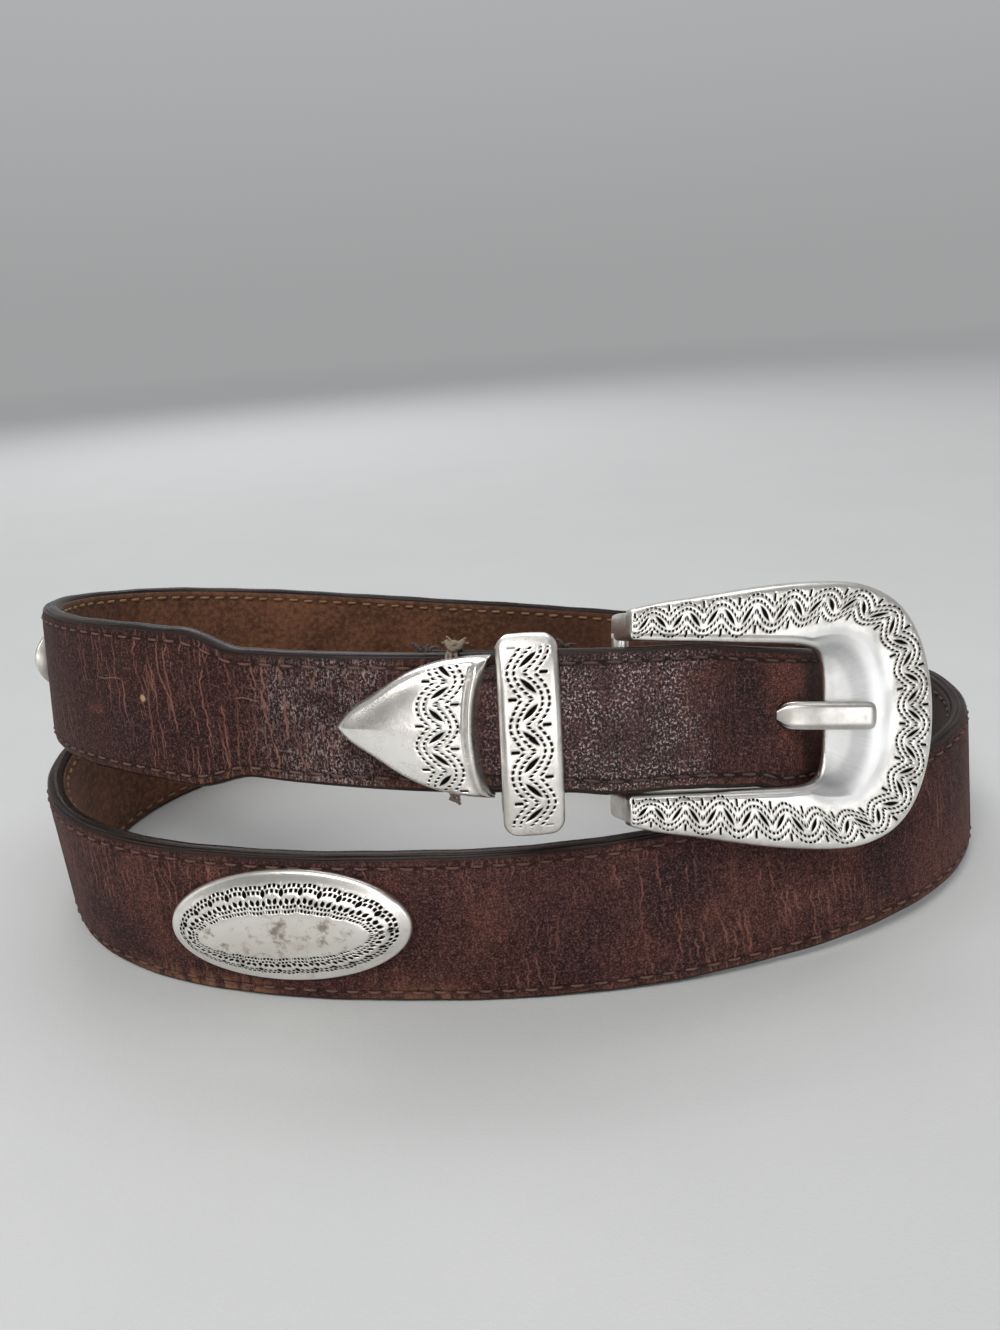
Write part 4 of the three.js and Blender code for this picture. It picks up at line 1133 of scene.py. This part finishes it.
# ---- binding thread and loose ends ----------------------------------------------------------
def make_thread():
    s0 = 33.2
    out, inn = STRAP_T / 2 + 0.42, -(STRAP_T / 2 + 0.3 + LEATHER_T + 0.42)
    hi = END_W / 2 + 0.42
    m = Build()
    corner = [(-hi, inn + 1), (-hi, 0.0), (-hi, out - 0.9), (-hi + 0.9, out), (0, out), (hi - 0.9, out), (hi, out - 0.9), (hi, 0.0), (hi, inn + 0.9), (hi - 0.9, inn), (0, inn), (-hi + 0.9, inn)]
    for k, ds in enumerate((-0.75, 0.0, 0.72)):
        pts = np.array(corner + corner[:1])
        q = np.linspace(0, len(pts) - 1, 100)
        v, n = np.interp(q, np.arange(len(pts)), pts[:, 0]), np.interp(q, np.arange(len(pts)), pts[:, 1])
        s = s0 + ds + 0.25 * np.sin(q * 1.3 + k)
        tube(m, on_strap(s, n, v), 0.36, 8)
    # knot: loops of thread pulled tight over each other, with two short frayed ends
    kp = np.array([s0 - 0.4, 1.5, hi + 1.0])
    th = np.linspace(0, 2 * math.pi, 40)
    for k in range(7):
        A = RNG.uniform(0.50, 1.10, 3)
        ph = RNG.uniform(0, 6.28, 3)
        s = kp[0] + 1.35 * A[0] * np.cos(th + ph[0])
        n = kp[1] + 0.95 * A[1] * np.sin(th + ph[1])
        v = kp[2] + 0.95 * A[2] * np.sin(2 * th + ph[2]) * 0.8
        tube(m, on_strap(s, n, v), 0.40, 8)
    for ds, dn, dv in ((2.2, 0.5, 0.9), (-1.9, 0.2, 1.6), (-2.4, -0.4, 0.6), (1.4, -0.2, 1.9)):
        t = np.linspace(0, 1, 10)
        s = kp[0] + ds * t
        n = kp[1] + dn * t + 0.15 * np.sin(t * 7)
        v = kp[2] + dv * t ** 1.3 - 0.35 * t ** 3
        tube(m, on_strap(s, n, v), np.linspace(0.36, 0.16, 10), 7)
    # tail under the lower edge
    t = np.linspace(0, 1, 14)
    tube(m, on_strap(s0 - 1.5 * t + 0.5, 1.5 + 0.5 * t + 0.2 * np.sin(5 * t), -hi - 0.1 - 1.3 * t), np.linspace(0.40, 0.28, 14), 7)
    tube(m, on_strap(s0 - 0.9 + 1.8 * t, 1.6 + 0.2 * np.sin(6 * t), -hi - 0.45 - 0.3 * np.sin(t * 3.1)), 0.34, 7)
    return m.make("binding_thread", M_KNOT)


def make_loose():
    """Dark thread ends left at the upper edge of the folded end."""
    m = Build()
    for s0, n0, v0, k in ((39.6, -3.6, 12.0, 4), (11.5, -3.8, 12.9, 4), (37.6, 1.0, 12.9, 3)):
        for j in range(k):
            t = np.linspace(0, 1, 12)
            ds, dn, dv = RNG.uniform(-2.2, 2.4), RNG.uniform(-0.4, 0.8), RNG.uniform(0.3, 1.5)
            s = s0 + RNG.uniform(-0.6, 0.6) + ds * t
            n = n0 + dn * t + 0.2 * np.sin(t * 5 + j)
            v = v0 + dv * np.sin(t * 2.2)
            tube(m, on_strap(s, n, v), np.linspace(0.34, 0.16, 12), 6)
    return m.make("loose_thread_ends", M_DARKTHREAD)


# ---- put the object together ------------------------------------------------------------------
def cut_holes(ob, s_list, lay_shift=0.0):
    """Cuts the punched holes through a strap piece and applies the cuts."""
    th = np.linspace(0, 2 * math.pi, 40, endpoint=False)
    b = Build()
    for s, ra, rb in s_list:
        f = mount_frame(s)
        P = np.array([[[ra * math.cos(x), rb * math.sin(x), z] for x in th] for z in (-6.0, 6.0)])
        P = placed(P, f)
        b.add(P, out_facing(P, [grid_faces(2, 40, close_cols=True), np.array([list(range(40))[::-1]]), np.array([[40 + j for j in range(40)]])]))
    P, faces, _ = prong_bar(np.linspace(2.6, 7.4, 40), 0.32)      # the hole in use follows the prong through it
    b.add(P, faces)
    cutter = b.make("cutter", [])
    md = ob.modifiers.new("holes", "BOOLEAN")
    md.operation = "DIFFERENCE"
    md.object = cutter
    md.solver = "EXACT"
    dg = bpy.context.evaluated_depsgraph_get()
    new = bpy.data.meshes.new_from_object(ob.evaluated_get(dg), depsgraph=dg, preserve_all_data_layers=True)
    ob.modifiers.clear()
    old = ob.data
    # the cut drops the strap coordinates: every vertex takes them again from the nearest old one
    co, lay, co2 = np.zeros((len(old.vertices), 3)), np.zeros((len(old.vertices), 3)), np.zeros((len(new.vertices), 3))
    for me, kind, to in ((old, "co", co), (new, "co", co2)):
        flat = np.zeros(to.size, np.float32)
        me.vertices.foreach_get(kind, flat)
        to[:] = flat.reshape(-1, 3)
    flat = np.zeros(lay.size, np.float32)
    old.attributes["lay"].data.foreach_get("vector", flat)
    lay[:] = flat.reshape(-1, 3)
    tree = KDTree(len(co))
    for i, c in enumerate(co.tolist()):
        tree.insert(c, i)
    tree.balance()
    near = np.array([tree.find(c)[1] for c in co2.tolist()])
    got = lay[near]
    shift = (co2 - co[near]) * 1000
    moved = np.linalg.norm(shift, axis=1) > 0.01
    p, t, w, n = strap_frame(got[moved, 0] - lay_shift)
    got[moved, 0] += np.sum(shift[moved] * t, axis=1)
    got[moved, 1] += np.sum(shift[moved] * w, axis=1)
    if "lay" not in new.attributes:
        new.attributes.new("lay", "FLOAT_VECTOR", "POINT")
    new.attributes["lay"].data.foreach_set("vector", got.astype(np.float32).reshape(-1))
    ob.data = new
    bpy.data.objects.remove(cutter)
    bpy.data.meshes.remove(old)
    return ob


leather = make_leather()
lining = make_lining()
cut_holes(leather, HOLES)
cut_holes(lining, HOLES, 300.0)
finish_piece(leather, ["strap_outer"])
finish_piece(lining, ["strap_lining"])
stitches = stitch_rows("stitches_front", M_STITCH, 3.0, 960.0, STRAP_T / 2 - 0.14, 1, 0.27, PITCH, 0.66, 0.42)
finish_piece(stitches)
stitches4 = stitch_rows("stitches_front_billet", M_BROWNTHREAD, 960.0, 1044.0, STRAP_T / 2 - 0.14, 1, 0.27, PITCH, 0.72, 0.42)
finish_piece(stitches4)
# painted shade: on the shaded right turn of the lower loop (s 388 to 490) the lining stitches take dark thread instead
# of golden
for name, mat, s0, s1 in (("stitches_back_start", M_TAN, 9.0, 388.0), ("stitches_back_turn", M_DARKTHREAD, 388.0, 490.0), ("stitches_back", M_TAN, 490.0, 928.0)):
    stitches2 = stitch_rows(name, mat, s0, s1, -STRAP_T / 2 + 0.05, -1, 0.40, PITCH, 0.64, 0.45)
    finish_piece(stitches2)
# painted shade: from s 928 the lining stitches take dark thread, as this stretch lies in shade behind the buckle
stitches3 = stitch_rows("stitches_back_billet", M_DARKTHREAD, 928.0, 1044.0, -STRAP_T / 2 + 0.05, -1, 0.36, PITCH, 0.64, 0.45)
finish_piece(stitches3)
buckle, cells = make_buckle()
finish_piece(buckle, ["buckle_frame"])
finish_piece(make_prong(), ["prong"])
finish_piece(make_keeper(), ["keeper"])
finish_piece(make_tip(), ["tip"])
M_CONCHO = silver_material("engraved_silver_concho", "ring", 1.0)
for i, (s, rise, turn) in enumerate([(186, 0, 0), (403, 0, 0), (620, 1.4, 4.2), (837, 0, 0)], 1):
    finish_piece(make_concho(i, s, rise, turn, M_CONCHO), [f"concho_{i}"])
finish_piece(make_thread(), ["binding_knot"])
finish_piece(make_loose())

# ---- floor, light and camera ---------------------------------------------------------------------
def sky_tone(y, z=None):
    """The studio's tone towards a direction, level where z is left out; darker behind the camera."""
    tone = (0.345, 0.349, 0.352) if z is None else mix(span(z, -0.02, 0.30), (0.345, 0.349, 0.352), (0.43, 0.434, 0.44))
    return mix(span(y, 0.25, -0.45), tone, (0.15, 0.152, 0.155))


me = bpy.data.meshes.new("floor")
R = 4.0
me.from_pydata([(-R, -R, 0), (R, -R, 0), (R, R, 0), (-R, R, 0)], [], [(0, 1, 2, 3)])
floor = bpy.data.objects.new("floor", me)
bpy.context.scene.collection.objects.link(floor)
m, nt, b = start_material("pale_floor")
co = nt.nodes.new("ShaderNodeTexCoord").outputs["Object"]
x, y, z = (E(o) for o in separate(co))
r = f_sqrt(x * x + y * y)
near_tone = mix(noise(co, 14.0, 4.0, 0.6), (0.48, 0.49, 0.488), (0.525, 0.53, 0.528))
put(mix(span(r, 0.25, 1.6), near_tone, (0.84, 0.845, 0.845)), b.inputs["Base Color"])
b.inputs["Roughness"].default_value = 0.9
b.inputs["Specular IOR Level"].default_value = 0.2
put(bump(noise(co, 1500.0, 3.0, 0.7), 0.0002, 0.4), b.inputs["Normal"])
# far off, the floor passes into the tone of the studio's wall
plain = nt.nodes.new("ShaderNodeEmission")
put(sky_tone(y / f_max(r, 0.001)), plain.inputs["Color"])
blend = nt.nodes.new("ShaderNodeMixShader")
put(span(r, 0.6, 2.8), blend.inputs[0])
nt.links.new(b.outputs[0], blend.inputs[1])
nt.links.new(plain.outputs[0], blend.inputs[2])
nt.links.new(blend.outputs[0], nt.nodes["Material Output"].inputs[0])
me.materials.append(m)

world = bpy.data.worlds.new("studio")
bpy.context.scene.world = world
world.use_nodes = True
E.tree = world.node_tree
x, y, z = (E(o) for o in separate(world.node_tree.nodes.new("ShaderNodeTexCoord").outputs["Generated"]))
sky = sky_tone(y, z)
sky = mix(span(z, 0.35, 0.95), sky, (0.30, 0.305, 0.31))
put(sky, world.node_tree.nodes["Background"].inputs[0])
world.node_tree.nodes["Background"].inputs[1].default_value = 1.0


def area(name, loc, target, size, watts, colour=(1, 1, 1)):
    L = bpy.data.lights.new(name, "AREA")
    L.shape = "RECTANGLE"
    L.size, L.size_y = size
    L.energy = watts
    L.color = colour
    o = bpy.data.objects.new(name, L)
    o.location = loc
    o.rotation_euler = (Vector(target) - Vector(loc)).to_track_quat("-Z", "Y").to_euler()
    bpy.context.scene.collection.objects.link(o)
    return o


area("key", (-0.22, -0.60, 0.85), (0, 0, 0.03), (0.50, 0.42), 7.2, (1.0, 0.985, 0.96))
area("top", (0.10, 0.35, 1.0), (0, 0, 0.03), (1.1, 0.4), 4.2, (0.96, 0.98, 1.0))
area("front", (-0.02, -1.30, 0.27), (0, 0, 0.05), (0.50, 0.42), 2.4, (1.0, 0.99, 0.97))
area("right", (0.80, -1.00, 0.32), (0, 0, 0.05), (0.62, 0.46), 3.2, (0.97, 0.985, 1.0))
area("side", (-1.00, -0.30, 0.26), (0, 0, 0.04), (0.40, 0.40), 0.6, (1.0, 0.98, 0.95))
area("back", (-0.30, 1.05, 0.80), (0, 0, 0.03), (0.60, 0.45), 4.0, (0.98, 0.99, 1.0))

cam = bpy.data.cameras.new("camera")
cam.sensor_fit = "AUTO"
cam.sensor_width = 36.0
cam.lens = 36 * 1020.3 / 1330
cam.clip_start = 0.01
cam_ob = bpy.data.objects.new("camera", cam)
cam_ob.matrix_world = (Matrix.Translation((0.000777, -0.224287, 0.126545 - REST / 1000))
                       @ Matrix.Rotation(math.radians(90 - 19.544), 4, "X") @ Matrix.Rotation(math.radians(-4.105), 4, "Z"))
bpy.context.scene.collection.objects.link(cam_ob)
bpy.context.scene.camera = cam_ob
bpy.context.scene.view_settings.view_transform = "Standard"

bpy.context.view_layer.update()
